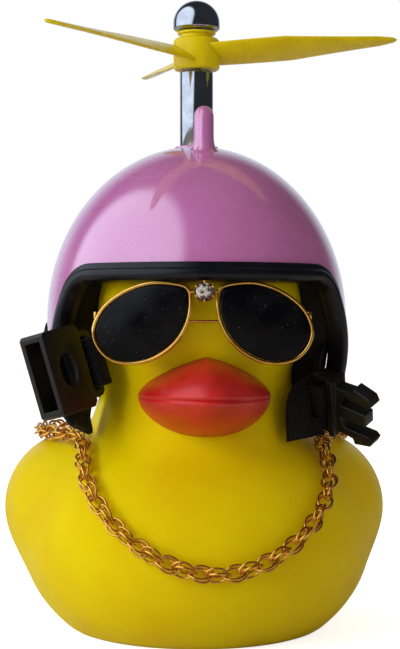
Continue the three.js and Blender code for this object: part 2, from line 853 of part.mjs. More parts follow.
const socketFrame = buckleFrame(besideHelmet(-1, -0.2, 5, 11.2),
  vec(-Math.sin(socketTilt * deg), 0, Math.cos(socketTilt * deg)),
  vec(-Math.cos(socketYaw * deg) * Math.cos(socketTilt * deg), -Math.sin(socketYaw * deg),
    -Math.cos(socketYaw * deg) * Math.sin(socketTilt * deg)), socketLength);
const plugFrame = buckleFrame(besideHelmet(1, 3.4, 16.6, 17.3), vec(-0.15, 0.74, -0.64),
  vec(0.72, -0.62, -0.32), plugBaseLength);

function strapRoute(points, widths, steps) {
  const curve = new THREE.CatmullRomCurve3(points);
  const widthCurve = new THREE.CatmullRomCurve3(widths);
  const spots = curve.getPoints(steps);
  return spots.map((point, i) => {
    const along = curve.getTangent(i / steps);
    const across = widthCurve.getPoint(i / steps);
    across.addScaledVector(along, -across.dot(along)).normalize();
    return { point, across, out: vec(0, 0, 0).crossVectors(along, across) };
  });
}

const lobeInside = grown(helmetRadii,
  -shellWall - trimGap - trimLeg - 2 * seatGap - strapThickness / 2);
const insideLobe = (side, angle, below) => onEgg(helmetCentre, lobeInside,
  side * angle * deg, Math.acos(-below / lobeInside.z));

function strap(points, widths, steps) {
  return toSolid(sweep(strapRoute(points, widths, steps), flatSection(strapWidth, strapThickness)));
}

// The room that a strap needs in the liner, open towards the shell.
function strapRoom(points, widths, steps) {
  const half = strapWidth / 2 + linerGap;
  const inner = -strapThickness / 2 - 2 * seatGap;
  const outer = strapThickness / 2 + linerWall;
  const section = [[-half, inner], [half, inner], [half, outer], [-half, outer]];
  return toSolid(sweep(strapRoute(points, widths, steps), section));
}

const rightStart = [
  insideLobe(-1, 92, 7.4),
  insideLobe(-1, 84, 7.4),
  besideHelmet(-1, 5.5, 24.4, 7.6),
  besideHelmet(-1, 6.7, 20.6, 8.1),
];
const leftStart = [
  insideLobe(1, 88, 4.4),
  insideLobe(1, 81, 6.4),
  besideHelmet(1, 7, 22.8, 10.4),
];
const rightWay = vec(-0.18, 0, 1);
const leftWays = [vec(0, 0.71, -0.7), vec(0, 0.71, -0.7), vec(0.12, 0.8, -0.5)];

function helmetLiner() {
  const outerRadii = grown(helmetRadii, -shellWall - trimGap - trimLeg - linerGap);
  const innerRadii = grown(headRadii, -templeRoom);
  const head = duckSkin(crownGap, 36, 26);
  const liner = shellBetween(helmetCentre, outerRadii, headCentre, innerRadii, linerEdge, linerRows);
  const recess = rod(screwHeadRadius + 2 * seatGap,
    helmetTop - shellWall - screwHeadHeight - 2 * seatGap, helmetTop);
  const { at } = socketFrame;
  const rightEnd = at(slotLength + slotMargin, socketThickness / 2 + strapThickness);
  const leftEnd = plugFrame.at(plugBaseLength, strapThickness);
  const rightRoom = strapRoom([insideLobe(-1, 96, 7.4), ...rightStart.slice(1), rightEnd],
    [rightWay, rightWay, rightWay, rightWay, socketFrame.across], 16);
  const leftRoom = strapRoom([insideLobe(1, 92, 3.4), ...leftStart.slice(1), leftEnd],
    [...leftWays, vec(0.25, 0.8, -0.45)], 16);
  const grooves = [-1, 1].map((side) => wire(templePoints(side), rimRadius + seatGap));
  return toGeometry(without(liner, head, toSolid(recess), rightRoom, leftRoom, ...grooves));
}

// The right strap runs forward from the lobe, wraps the socket's rear bar and hangs on as a tail.
function chinStrapRight() {
  const { at, across, rear } = socketFrame;
  const barBack = slotLength / 2 + slotMargin + seatGap + strapThickness / 2;
  const barFront = socketThickness * 0.22 + 2 * seatGap + strapThickness / 2;
  const barRear = socketThickness / 2 + seatGap + strapThickness / 2;
  const main = strap([
    ...rightStart,
    at(barBack + 0.7, barRear + 0.3),
    at(barBack + 0.1, barRear - 1.6),
    at(barBack, 0),
    at(barBack - 0.7, -barFront - 0.4),
    at(slotLength * 0.6, -barFront - 0.9),
    at(0.2, -barFront - 0.2),
    at(0, 1),
    at(0, barRear),
    at(0.1, barRear + 0.9),
  ], [...Array(4).fill(rightWay), ...Array(9).fill(across)], 36);
  const tail = strap([
    at(0.9, barRear + 0.97, -2.1),
    at(0.8, barRear + 1.5, -5.5),
    at(0, barRear + 1.6, -9.5),
    at(-0.6, barRear + 0.6, -12.3),
  ], [rear, rear, vec(0.45, 0.85, 0), vec(0.25, 0.95, 0)], 10);
  return toGeometry(joined(main, tail));
}

// The left strap hangs in front of the lobe, and a loop sewn to it holds the plug's rear bar.
function chinStrapLeft() {
  const { at, across } = plugFrame;
  const barRear = slotLength / 2 + slotMargin + seatGap + strapThickness / 2;
  const barSide = plugThickness / 2 + seatGap + strapThickness / 2;
  const hanging = strap([
    ...leftStart,
    at(barRear + 1.0, 1.4),
    besideHelmet(1, 11.4, 14.4, 18.4),
    besideHelmet(1, 10.6, 14.2, 23.6),
  ], [...leftWays, vec(0.25, 0.8, -0.45), vec(0.6, 0.78, 0), vec(0.82, 0.55, 0.05)], 16);
  const loop = [[0.05, -0.5], [0.05, 0.5], [0.18, 0.95], [0.5, 1.1], [0.82, 0.95], [1, 0.5],
    [1, -0.5], [0.82, -0.95], [0.5, -1.1], [0.18, -0.95]];
  const points = loop.map(([back, side]) => at(back * barRear, side * barSide));
  const stations = stationsAlong(points, () => across, true).map(({ point, across: a, out }) =>
    ({ point, across: out, out: a }));
  const wrapped = toSolid(sweep(stations, flatSection(strapWidth, strapThickness), true));
  return toGeometry(joined(hanging, wrapped));
}

// Chain

const chainRest = linkWidth / 2 * Math.SQRT1_2 + linkWire + 1.5 * seatGap;

// The chain lies on the duck: low on the breast, up over the shoulders and round the nape.
function chainRoute(steps = 72) {
  const spots = Array.from({ length: steps }, (_, i) => {
    const turn = 2 * Math.PI * i / steps;
    const past = Math.abs(turn - chainTurn * deg);
    const fromFront = Math.min(past, 2 * Math.PI - past);
    const drape = Math.cos(Math.min(chainSpread * fromFront, Math.PI / 2)) ** 2;
    const height = lerp(chainNeckHeight, chainLowPoint, drape);
    return skinPoint(vec(0, 0, height), vec(Math.sin(turn), -Math.cos(turn), 0), chainRest);
  });
  return new THREE.CatmullRomCurve3(spots, true);
}

function chainLink(curve, share, odd) {
  const centre = curve.getPointAt(share);
  const along = curve.getTangentAt(share);
  const out = centre.clone().sub(bodyCentre).normalize();
  out.addScaledVector(along, -out.dot(along)).normalize();
  out.applyAxisAngle(along, (odd ? 45 : -45) * deg);
  const across = vec(0, 0, 0).crossVectors(along, out);
  const halfLong = linkPitch / 2 + linkWire * 0.6;
  const halfWide = linkWidth / 2 - linkWire;
  const loop = Array.from({ length: 6 }, (_, i) => {
    const angle = 2 * Math.PI * i / 6;
    return centre.clone().addScaledVector(along, halfLong * Math.cos(angle))
      .addScaledVector(across, halfWide * Math.sin(angle));
  });
  return toSolid(sweep(stationsAlong(loop, () => out, true), roundSection(linkWire, 3), true));
}

const chainCurve = chainRoute();
const linkCount = Math.round(chainCurve.getLength() / linkPitch);
const claspShare = 0.5;

function neckChain() {
  const links = [];
  for (let i = 0; i < linkCount; i += 1) {
    const share = (i + 0.5) / linkCount;
    const fromClasp = Math.abs(share - claspShare) * chainCurve.getLength();
    if (fromClasp < claspLength / 2 + linkPitch / 2) continue;
    links.push(chainLink(chainCurve, share, i % 2 === 0));
  }
  return toGeometry(joined(...links));
}

// A lobster clasp joins the ends of the chain at the nape.
function chainClasp() {
  const half = claspLength / (2 * chainCurve.getLength());
  const shares = [-1, -0.5, 0, 0.5, 1].map((k) => claspShare + k * half * 0.9);
  const points = shares.map((share) => chainCurve.getPointAt(share));
  const facing = (p) => p.clone().sub(neckCentre);
  const stations = stationsAlong(points, facing);
  const fat = [0.45, 0.9, 1, 0.85, 0.45];
  const rings = stations.map(({ point, across, out }, i) => roundSection(claspRadius * fat[i], 8)
    .map(([a, o]) => point.clone().addScaledVector(across, a).addScaledVector(out, o * 0.6)));
  return loft(rings);
}

// Finishes

const finish = (color, roughness, metalness = 0) =>
  new THREE.MeshStandardMaterial({ color, roughness, metalness });
const yellowVinyl = finish(0xe0c800, 0.45);
const pinkPlastic = finish(0xd68ac4, 0.15);
const yellowPlastic = finish(0xe2d618, 0.3);
const chrome = finish(0xd0d3d8, 0.08, 1);
const gold = finish(0xdca545, 0.2, 1);
const blackRubber = finish(0x14151a, 0.35);
const blackFoam = finish(0x101014, 0.9);
const blackWebbing = finish(0x121216, 0.8);
const blackPlastic = finish(0x15161a, 0.35);
const darkLens = finish(0x07070a, 0.12);
const crystal = finish(0xe6eef5, 0.02);
const steel = finish(0xa8abb0, 0.3, 1);
const whitePlastic = finish(0xe8e8e4, 0.5);

const duck = new THREE.Group();

function add(name, geometry, material) {
  const mesh = new THREE.Mesh(cleaned(geometry), material);
  mesh.name = name;
  duck.add(mesh);
}

add('duck_body', duckBody(), yellowVinyl);
add('squeaker_housing', squeakerHousing(), whitePlastic);
add('squeaker_reed', squeakerReed(), whitePlastic);
add('helmet_shell', helmetShell(), pinkPlastic);
add('helmet_liner', helmetLiner(), blackFoam);
add('helmet_trim', helmetTrim(), blackRubber);
add('propeller_post', propellerPost(), chrome);
add('post_screw', postScrew(), steel);
add('propeller_axle', propellerAxle(), steel);
add('propeller', propeller(), yellowPlastic);
add('propeller_cap', propellerCap(), chrome);
add('sunglasses_frame', sunglassesFrame(), gold);
add('lens_right', lens(-1), darkLens);
add('lens_left', lens(1), darkLens);
add('jewel_cup', jewelCup(), gold);
add('bridge_jewel', bridgeJewel(), crystal);
add('chin_strap_right', chinStrapRight(), blackWebbing);
add('chin_strap_left', chinStrapLeft(), blackWebbing);
add('buckle_socket', buckleSocket().applyMatrix4(socketFrame.matrix), blackPlastic);
add('buckle_plug', bucklePlug().applyMatrix4(plugFrame.matrix), blackPlastic);
add('neck_chain', neckChain(), gold);
add('chain_clasp', chainClasp(), gold);

export default duck;
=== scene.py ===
from math import acos, copysign, cos, exp, hypot, pi, radians, sin, sqrt, tan, tau

import bmesh
import bpy
import numpy as np
from mathutils import Matrix, Vector


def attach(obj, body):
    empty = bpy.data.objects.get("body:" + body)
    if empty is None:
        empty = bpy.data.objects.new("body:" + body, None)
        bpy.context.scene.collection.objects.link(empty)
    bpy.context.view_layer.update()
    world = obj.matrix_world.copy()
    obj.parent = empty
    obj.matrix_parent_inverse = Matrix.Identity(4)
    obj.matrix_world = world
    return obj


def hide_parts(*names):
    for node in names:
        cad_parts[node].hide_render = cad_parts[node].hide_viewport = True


# Shapes are worked out in millimetres and made metres when a piece is finished
metre = 0.001

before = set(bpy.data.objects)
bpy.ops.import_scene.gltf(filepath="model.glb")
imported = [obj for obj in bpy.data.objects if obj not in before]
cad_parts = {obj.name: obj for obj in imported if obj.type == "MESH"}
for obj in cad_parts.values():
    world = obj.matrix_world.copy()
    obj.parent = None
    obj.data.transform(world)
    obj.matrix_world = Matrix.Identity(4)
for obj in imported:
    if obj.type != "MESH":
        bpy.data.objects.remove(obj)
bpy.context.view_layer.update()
scene = bpy.context.scene
print("frame loaded:", len(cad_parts), "nodes")

# Camera, lamps, room and floor

view = dict(lens=87.14, distance=330, height=63, turn=-3.5, shift=0.0054)

camera = bpy.data.objects.new("camera", bpy.data.cameras.new("camera"))
scene.collection.objects.link(camera)
camera.data.lens = view["lens"]
camera.data.shift_x = view["shift"]
camera.data.clip_start = 0.01
turn = radians(view["turn"])
camera.location = (view["distance"] * metre * sin(turn),
                   -view["distance"] * metre * cos(turn), view["height"] * metre)
camera.rotation_euler = (radians(90), 0, turn)
scene.camera = camera
scene.view_settings.view_transform = "Standard"

# place and size in metres, power in watts
lamps = {
    "windowLight": dict(at=(-0.6, -0.42, 0.32), size=(0.4, 0.5), power=3.7, colour=(0.98, 0.99, 0.95)),
    "fillLight": dict(at=(0.75, -0.7, 0.3), size=(0.6, 0.6), power=0.4, colour=(1.0, 0.86, 0.72)),
    "topLight": dict(at=(-0.1, 0.25, 0.85), size=(0.6, 0.6), power=1.2, colour=(0.96, 0.98, 1.0)),
}


def addLamp(name, lamp):
    data = bpy.data.lights.new(name, "AREA")
    data.shape = "RECTANGLE"
    data.size, data.size_y = lamp["size"]
    data.energy = lamp["power"]
    data.color = lamp["colour"]
    light = bpy.data.objects.new(name, data)
    light.location = lamp["at"]
    light.visible_glossy = False
    aim = Vector((0, 0, 0.06)) - light.location
    light.rotation_euler = aim.to_track_quat("-Z", "Y").to_euler()
    scene.collection.objects.link(light)


for name, lamp in lamps.items():
    addLamp(name, lamp)

# ambient is what lights the object; the room is what gloss and metal mirror
room = dict(ambient=(0.36, 0.3, 0.24, 1), dark=0.05, bright=1.9, windowTint=(0.86, 0.96, 1.08, 1),
            windowWay=(-0.9, -0.28, 0.4), fade=(0.58, 0.72), rear=0.85, rearFade=(0.62, 0.95))

world = bpy.data.worlds.new("studio")
scene.world = world
world.use_nodes = True
world.node_tree.nodes.clear()


def addNode(owner, kind, inputs=None, **settings):
    tree = owner.node_tree
    node = tree.nodes.new("ShaderNode" + kind)
    for key, value in settings.items():
        setattr(node, key, value)
    for key, value in (inputs or {}).items():
        if isinstance(value, bpy.types.NodeSocket):
            tree.links.new(value, node.inputs[key])
        else:
            node.inputs[key].default_value = value
    return node


def greyOf(level):
    return (level, level, level, 1)


def ranged(owner, value, low, high, toLow=0.0, toHigh=1.0, **settings):
    return addNode(owner, "MapRange", {"Value": value, "From Min": low, "From Max": high,
                                       "To Min": toLow, "To Max": toHigh}, **settings).outputs[0]


def combined(owner, operation, first, second):
    return addNode(owner, "Math", {0: first, 1: second}, operation=operation).outputs[0]


def chosen(owner, factor, first, second):
    return addNode(owner, "MixShader", {0: factor, 1: first, 2: second}).outputs[0]


def backgroundOf(colour, strength=1.0):
    return addNode(world, "Background", {"Color": colour, "Strength": strength}).outputs[0]


direction = addNode(world, "TexCoord").outputs["Generated"]
towards = addNode(world, "VectorMath", {0: direction, 1: Vector(room["windowWay"]).normalized()},
                  operation="DOT_PRODUCT").outputs["Value"]
window = ranged(world, towards, *room["fade"], room["dark"], room["bright"], interpolation_type="SMOOTHSTEP")
# The white sheet behind the object shows at its rims
behind = addNode(world, "SeparateXYZ", {0: direction}).outputs["Y"]
sheet = ranged(world, behind, *room["rearFade"], 0, room["rear"], interpolation_type="SMOOTHSTEP")
mirrored = backgroundOf(room["windowTint"], combined(world, "MAXIMUM", window, sheet))
path = addNode(world, "LightPath").outputs
lighting = chosen(world, path["Is Glossy Ray"], backgroundOf(room["ambient"]), mirrored)
seen = combined(world, "MAXIMUM", path["Is Camera Ray"], path["Is Transmission Ray"])
addNode(world, "OutputWorld", {"Surface": chosen(world, seen, lighting, backgroundOf(greyOf(1)))})

floorLook = dict(size=6, colour=0.82, glow=0.8, rough=0.9)


def newMaterial(name, roughness=0.5, metallic=0.0, **sockets):
    material = bpy.data.materials.new(name)
    material.use_nodes = True
    for socket, value in {"Roughness": roughness, "Metallic": metallic, **sockets}.items():
        shaderOf(material).inputs[socket].default_value = value
    return material


def shaderOf(material):
    return material.node_tree.nodes["Principled BSDF"]


# The camera sees the floor glow, nearly white, and the object's shadow on it
def makeFloor():
    bm = bmesh.new()
    bmesh.ops.create_grid(bm, x_segments=2, y_segments=2, size=floorLook["size"] / 2)
    mesh = bpy.data.meshes.new("floor")
    bm.to_mesh(mesh)
    bm.free()
    material = newMaterial("paleFloor", floorLook["rough"], **{"Base Color": greyOf(floorLook["colour"])})
    glow, unlit = (addNode(material, "Emission", {"Color": greyOf(level)}).outputs[0]
                   for level in (floorLook["glow"], 0))
    glowing = chosen(material, addNode(material, "LightPath").outputs["Is Camera Ray"], unlit, glow)
    both = addNode(material, "AddShader", {0: shaderOf(material).outputs[0], 1: glowing}).outputs[0]
    material.node_tree.links.new(both, material.node_tree.nodes["Material Output"].inputs["Surface"])
    mesh.materials.append(material)
    floor = bpy.data.objects.new("floor", mesh)
    scene.collection.objects.link(floor)


makeFloor()
print("studio ready")

# Materials


def srgb(red, green, blue):
    return tuple(((c / 255 + 0.055) / 1.055) ** 2.4 if c > 10 else c / 255 / 12.92
                 for c in (red, green, blue)) + (1,)


def objectPlace(material, scale=(1, 1, 1), centre=(0, 0, 0)):
    place = addNode(material, "TexCoord").outputs["Object"]
    moved = addNode(material, "VectorMath", {0: place, 1: centre}, operation="SUBTRACT")
    return addNode(material, "VectorMath", {0: moved.outputs[0], 1: scale}, operation="MULTIPLY").outputs[0]


# size is how big one patch of the noise is, in millimetres
def noise(material, size, detail=3, stretch=(1, 1, 1)):
    place = objectPlace(material, [s / metre / size for s in stretch])
    return addNode(material, "TexNoise", {"Vector": place, "Scale": 1, "Detail": detail}).outputs["Fac"]


# Most of a noise lies between these two
noiseBand = (0.3, 0.7)


def patchy(material, size, detail=3, toLow=0.0, toHigh=1.0):
    return ranged(material, noise(material, size, detail), *noiseBand, toLow, toHigh)


def mixed(material, factor, first, second):
    node = addNode(material, "Mix", data_type="RGBA")
    for index, value in ((0, factor), (6, first), (7, second)):
        if isinstance(value, bpy.types.NodeSocket):
            material.node_tree.links.new(value, node.inputs[index])
        else:
            node.inputs[index].default_value = value
    return node.outputs[2]


def multiplied(material, first, second):
    return combined(material, "MULTIPLY", first, second)


def joinTo(material, socket, value):
    material.node_tree.links.new(value, shaderOf(material).inputs[socket])


def roughened(material, size, low, high, detail=4):
    joinTo(material, "Roughness", patchy(material, size, detail, low, high))


def addBump(material, height, strength, depth):
    joinTo(material, "Normal", addNode(material, "Bump", {
        "Height": height, "Strength": strength, "Distance": depth * metre}).outputs[0])


# Thin marks lying all ways, from the narrow band where a stretched noise crosses its middle
def scratches(material, size, stretch, width):
    lines = noise(material, size, 2, stretch)
    away = combined(material, "ABSOLUTE", combined(material, "SUBTRACT", lines, 0.5), 0)
    some = ranged(material, noise(material, size * 2.3, 2), 0.56, 0.66)
    return multiplied(material, ranged(material, away, 0, width, 1, 0), some)


# Small round specks, in some of the cells of a Voronoi pattern
def specks(material, size, radius, share):
    place = objectPlace(material, [1 / metre / size] * 3)
    cells = addNode(material, "TexVoronoi", {"Vector": place, "Scale": 1})
    dots = ranged(material, cells.outputs["Distance"], radius * 0.5, radius, 1, 0)
    red = addNode(material, "SeparateColor", {0: cells.outputs["Color"]}).outputs[0]
    return multiplied(material, dots, combined(material, "LESS_THAN", red, share))


# One dark colour serves both the dust specks and the painted shade low down round the foot
vinylLook = dict(light=srgb(232, 212, 3), dark=srgb(226, 196, 2), patch=14, dustAndShade=srgb(150, 118, 30),
                 shadeTop=6, mostShade=0.15, mostDust=0.35, rough=(0.36, 0.5))


def makeVinyl():
    material = newMaterial("yellowVinyl", **{
        "Subsurface Weight": 0.22, "Subsurface Radius": (1.0, 0.5, 0.06), "Subsurface Scale": 0.006,
        "Specular IOR Level": 0.08})
    colour = mixed(material, patchy(material, vinylLook["patch"]), vinylLook["dark"], vinylLook["light"])
    # Painted shade: the vinyl is darkened low down, round the foot, broken up by noise
    height = addNode(material, "SeparateXYZ", {0: objectPlace(material)}).outputs[2]
    low = ranged(material, height, 0.0, vinylLook["shadeTop"] * metre, vinylLook["mostShade"], 0)
    lowShade = multiplied(material, low, ranged(material, noise(material, 5, 4), 0.45, 0.7))
    colour = mixed(material, lowShade, colour, vinylLook["dustAndShade"])
    # Dust specks, in the same dark colour as the painted shade
    dust = multiplied(material, specks(material, 2.6, 0.06, 0.12), vinylLook["mostDust"])
    joinTo(material, "Base Color", mixed(material, dust, colour, vinylLook["dustAndShade"]))
    roughened(material, 9, *vinylLook["rough"])
    addBump(material, noise(material, 0.7), 0.12, 0.12)
    return material


billLook = dict(light=srgb(206, 34, 32), dark=srgb(182, 20, 23), worn=srgb(200, 62, 44), mostWear=0.5,
                rough=(0.34, 0.5))


def makeBillPaint():
    material = newMaterial("redBillPaint", **{
        "Coat Weight": 0.25, "Coat Roughness": 0.25, "Subsurface Weight": 0.1,
        "Subsurface Radius": (1.0, 0.25, 0.15), "Subsurface Scale": 0.003})
    colour = mixed(material, patchy(material, 6, 4), billLook["dark"], billLook["light"])
    worn = multiplied(material, ranged(material, noise(material, 1.1, 5), 0.64, 0.72), billLook["mostWear"])
    joinTo(material, "Base Color", mixed(material, worn, colour, billLook["worn"]))
    roughened(material, 3, *billLook["rough"])
    addBump(material, noise(material, 0.45), 0.16, 0.1)
    return material


helmetLook = dict(light=srgb(204, 124, 194), dark=srgb(194, 112, 184), scuff=srgb(92, 48, 82),
                  mark=(8.3, -29.5, 85.2), markSize=(2.0, 3, 0.34), mostMark=0.75, mostWear=0.3,
                  rough=(0.22, 0.34))


def makePink():
    material = newMaterial("pinkPlastic", **{"Coat Weight": 1.0, "Coat Roughness": 0.05, "Coat IOR": 1.95})
    colour = mixed(material, patchy(material, 18, 2), helmetLook["dark"], helmetLook["light"])
    wear = combined(material, "MAXIMUM", scratches(material, 9, (1, 1, 3.2), 0.006),
                    scratches(material, 7, (3.0, 1, 1), 0.005))
    # One thin dark scratch, high on the brow
    near = objectPlace(material, [1 / metre / s for s in helmetLook["markSize"]],
                       [c * metre for c in helmetLook["mark"]])
    away = addNode(material, "VectorMath", {0: near}, operation="LENGTH").outputs["Value"]
    ragged = ranged(material, noise(material, 0.9, 4, (0.35, 1, 1.6)), 0.34, 0.46)
    scuff = multiplied(material, ranged(material, away, 0.7, 1.0, helmetLook["mostMark"], 0), ragged)
    marks = combined(material, "MAXIMUM", multiplied(material, wear, helmetLook["mostWear"]), scuff)
    joinTo(material, "Base Color", mixed(material, marks, colour, helmetLook["scuff"]))
    roughened(material, 5, *helmetLook["rough"], detail=3)
    addBump(material, combined(material, "SUBTRACT", noise(material, 3.5, 2), wear), 0.05, 0.1)
    return material


def makePlain(name, light, dark, patch, rough, grain, strength, depth=0.1, **sockets):
    material = newMaterial(name, **sockets)
    joinTo(material, "Base Color", mixed(material, patchy(material, patch), dark, light))
    roughened(material, patch / 2, *rough)
    addBump(material, noise(material, grain), strength, depth)
    return material


def makeMetal(name, light, dark, rough, patch, drawn=(1, 1, 1), strength=0.04):
    material = newMaterial(name, metallic=1.0)
    stains = ranged(material, noise(material, patch, 5), 0.35, 0.75)
    joinTo(material, "Base Color", mixed(material, stains, light, dark))
    roughened(material, patch / 2, *rough)
    addBump(material, noise(material, 0.5, 2, drawn), strength, 0.05)
    return material


# The lens is smooth and black, under a thin layer of dust
lensLook = dict(colour=srgb(7, 7, 11), dust=srgb(120, 122, 128), coarse=0.32, fine=0.16, film=0.05,
                rough=(0.2, 0.75))


def makeLens():
    material = newMaterial("blackLens", **{"Specular IOR Level": 0.1})
    dust = combined(material, "MAXIMUM",
                    multiplied(material, specks(material, 0.85, 0.16, 0.3), lensLook["coarse"]),
                    multiplied(material, specks(material, 0.42, 0.2, 0.22), lensLook["fine"]))
    film = ranged(material, noise(material, 6, 5), 0.45, 0.8, 0, lensLook["film"])
    dust = combined(material, "MAXIMUM", dust, film)
    joinTo(material, "Base Color", mixed(material, dust, lensLook["colour"], lensLook["dust"]))
    joinTo(material, "Roughness", ranged(material, dust, 0, 0.3, *lensLook["rough"]))
    addBump(material, dust, 0.2, 0.04)
    return material


# Webbing: ribs along the strap crossed by the picks of the weave, on a map in millimetres
weave = dict(rib=1.0, pick=0.62, thread=srgb(14, 14, 18), shade=srgb(7, 7, 9), lint=srgb(40, 41, 48),
             mostLint=0.4, rough=(0.6, 0.85))


def makeWebbing():
    material = newMaterial("blackWebbing", **{"Sheen Weight": 0.04, "Sheen Roughness": 0.4,
                                              "Specular IOR Level": 0.2})
    cloth = addNode(material, "UVMap", uv_map="weave").outputs[0]
    parts = addNode(material, "SeparateXYZ", {0: cloth})
    waves = []
    for axis, pitch in ((0, weave["rib"]), (1, weave["pick"])):
        phase = multiplied(material, parts.outputs[axis], pi / pitch)
        waves.append(combined(material, "ABSOLUTE", combined(material, "SINE", phase, 0), 0))
    height = multiplied(material, waves[0], combined(material, "ADD", waves[1], 0.6))
    # Painted shade: the grooves between the threads, low on the weave, are darker
    colour = mixed(material, ranged(material, height, 0.1, 1.1), weave["shade"], weave["thread"])
    lint = ranged(material, noise(material, 0.5, 5), 0.66, 0.74, 0, weave["mostLint"])
    joinTo(material, "Base Color", mixed(material, lint, colour, weave["lint"]))
    roughened(material, 0.8, *weave["rough"], detail=3)
    addBump(material, height, 0.8, 0.2)
    return material


# The cut stone's sparkle is painted: a noise puts patches of painted glint and painted shade in its colour,
# for lit and dark facets
crystalLook = dict(light=srgb(240, 234, 232), dark=srgb(66, 52, 48), paintedGlint=(0.44, 0.6), rough=(0.01, 0.05))


def makeCrystal():
    material = newMaterial("clearCrystal", roughness=0.02, IOR=1.6, **{"Transmission Weight": 0.3})
    # Painted glint and painted shade, from a noise
    paintedGlint = ranged(material, noise(material, 0.9), *crystalLook["paintedGlint"])
    joinTo(material, "Base Color", mixed(material, paintedGlint, crystalLook["dark"], crystalLook["light"]))
    roughened(material, 0.6, *crystalLook["rough"], detail=3)
    return material


crystal = makeCrystal()
yellowVinyl = makeVinyl()
billPaint = makeBillPaint()
pinkPlastic = makePink()
blackLens = makeLens()
blackWebbing = makeWebbing()
yellowPlastic = makePlain("yellowPlastic", srgb(232, 214, 8), srgb(222, 200, 4), 7, (0.2, 0.34), 1.6, 0.08,
                          **{"Specular IOR Level": 0.25, "Coat Weight": 0.05, "Subsurface Weight": 0.15,
                             "Subsurface Radius": (1.0, 0.8, 0.1), "Subsurface Scale": 0.002})
blackRubber = makePlain("blackRubber", srgb(20, 22, 31), srgb(13, 14, 22), 5, (0.24, 0.4), 0.5, 0.1,
                        **{"Coat Weight": 0.12, "Coat Roughness": 0.2, "Specular IOR Level": 0.2})
blackFoam = makePlain("blackFoam", srgb(15, 15, 19), srgb(9, 9, 12), 2.5, (0.8, 0.95), 0.35, 0.6, 0.2,
                      **{"Sheen Weight": 0.05})
blackPlastic = makePlain("blackPlastic", srgb(21, 21, 22), srgb(14, 14, 15), 3, (0.3, 0.48), 0.3, 0.12,
                         **{"Specular IOR Level": 0.35})
whitePlastic = makePlain("whitePlastic", srgb(232, 232, 226), srgb(218, 218, 210), 4, (0.4, 0.55), 0.6, 0.1)
chrome = makeMetal("chrome", srgb(176, 178, 184), srgb(150, 152, 160), (0.05, 0.13), 2.2, (1, 1, 0.15), 0.03)
steel = makeMetal("steel", srgb(188, 190, 194), srgb(150, 152, 158), (0.25, 0.4), 1.5, (1, 1, 0.2), 0.1)
frameGold = makeMetal("frameGold", srgb(232, 184, 96), srgb(204, 148, 62), (0.14, 0.26), 1.6)
chainGold = makeMetal("chainGold", srgb(236, 182, 84), srgb(206, 142, 50), (0.14, 0.26), 1.2)
print("materials ready")

# Shared shaping


# Makes a piece of a mesh in millimetres. Edges that turn more than sharp, in degrees, stay sharp.
def finished(bm, name, material, node, body="root", sharp=38, recalc=True):
    if recalc:
        bmesh.ops.recalc_face_normals(bm, faces=bm.faces)
    bmesh.ops.scale(bm, vec=(metre, metre, metre), verts=bm.verts)
    for face in bm.faces:
        face.smooth = True
    for edge in bm.edges:
        edge.smooth = edge.calc_face_angle(0) < radians(sharp)
    mesh = bpy.data.meshes.new(name)
    bm.to_mesh(mesh)
    bm.free()
    mesh.materials.append(material)
    piece = bpy.data.objects.new(name, mesh)
    scene.collection.objects.link(piece)
    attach(piece, body)
    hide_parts(node)
    return piece


def solidified(piece, thickness, offset):
    wall = piece.modifiers.new("wall", "SOLIDIFY")
    wall.thickness = thickness * metre
    wall.offset = offset
    wall.use_even_offset = True


# Points nearer to each other than this are one, in millimetres
joinWithin = 0.002


# A grid whose points are moved to place(across, along), both from 0 to 1, and whose seams close
def shapedGrid(bm, across, along, place):
    made = bmesh.ops.create_grid(bm, x_segments=across, y_segments=along, size=0.5)["verts"]
    for vert in made:
        vert.co = place(vert.co.x + 0.5, vert.co.y + 0.5)
    bmesh.ops.remove_doubles(bm, verts=made, dist=joinWithin)


# A skin over rings of points, one ring after another
def ringGrid(bm, rings, sides):
    steps = len(rings) - 1
    shapedGrid(bm, sides, steps, lambda u, v: pickedFrom(rings[round(v * steps)], round(u * sides)))


def pickedFrom(ring, index):
    return ring[index % len(ring)]


def connectedTo(verts):
    known = set(verts)
    waiting = list(known)
    while waiting:
        vert = waiting.pop()
        for link in vert.link_edges:
            other = link.other_vert(vert)
            if other not in known:
                known.add(other)
                waiting.append(other)
    return list(known)


# Turns a profile of (radius, height) pairs once round the upright axis
def turnedShape(bm, profile, segments=64, matrix=Matrix()):
    verts = [bm.verts.new((radius, 0, height)) for radius, height in profile]
    edges = [bm.edges.new(pair) for pair in zip(verts, verts[1:])]
    bmesh.ops.spin(bm, geom=verts + edges, cent=(0, 0, 0), axis=(0, 0, 1), angle=tau, steps=segments,
                   use_merge=True)
    whole = connectedTo(verts)
    bmesh.ops.remove_doubles(bm, verts=whole, dist=joinWithin)
    bmesh.ops.transform(bm, matrix=matrix, verts=connectedTo(v for v in whole if v.is_valid))


def bevelled(bm, edges, width, segments):
    bmesh.ops.bevel(bm, geom=edges, offset=width, offset_type="OFFSET", segments=segments, profile=0.5,
                    affect="EDGES", clamp_overlap=True, material=-1)


# Rounds the edges that are sharper than an angle
def softened(bm, width, angle=32):
    bevelled(bm, [edge for edge in bm.edges if len(edge.link_faces) == 2
                  and edge.calc_face_angle() > radians(angle)], width, 3)


def between(first, second, share):
    return first + (second - first) * share


def ringPoint(radius, angle, height=0.0):
    return Vector((radius * cos(angle), radius * sin(angle), height))


# The part of a direction that is square to another
def squared(way, along):
    return (way - along * way.dot(along)).normalized()


def quarterTurn(step):
    return [radians(angle) for angle in range(0, 91, step)]


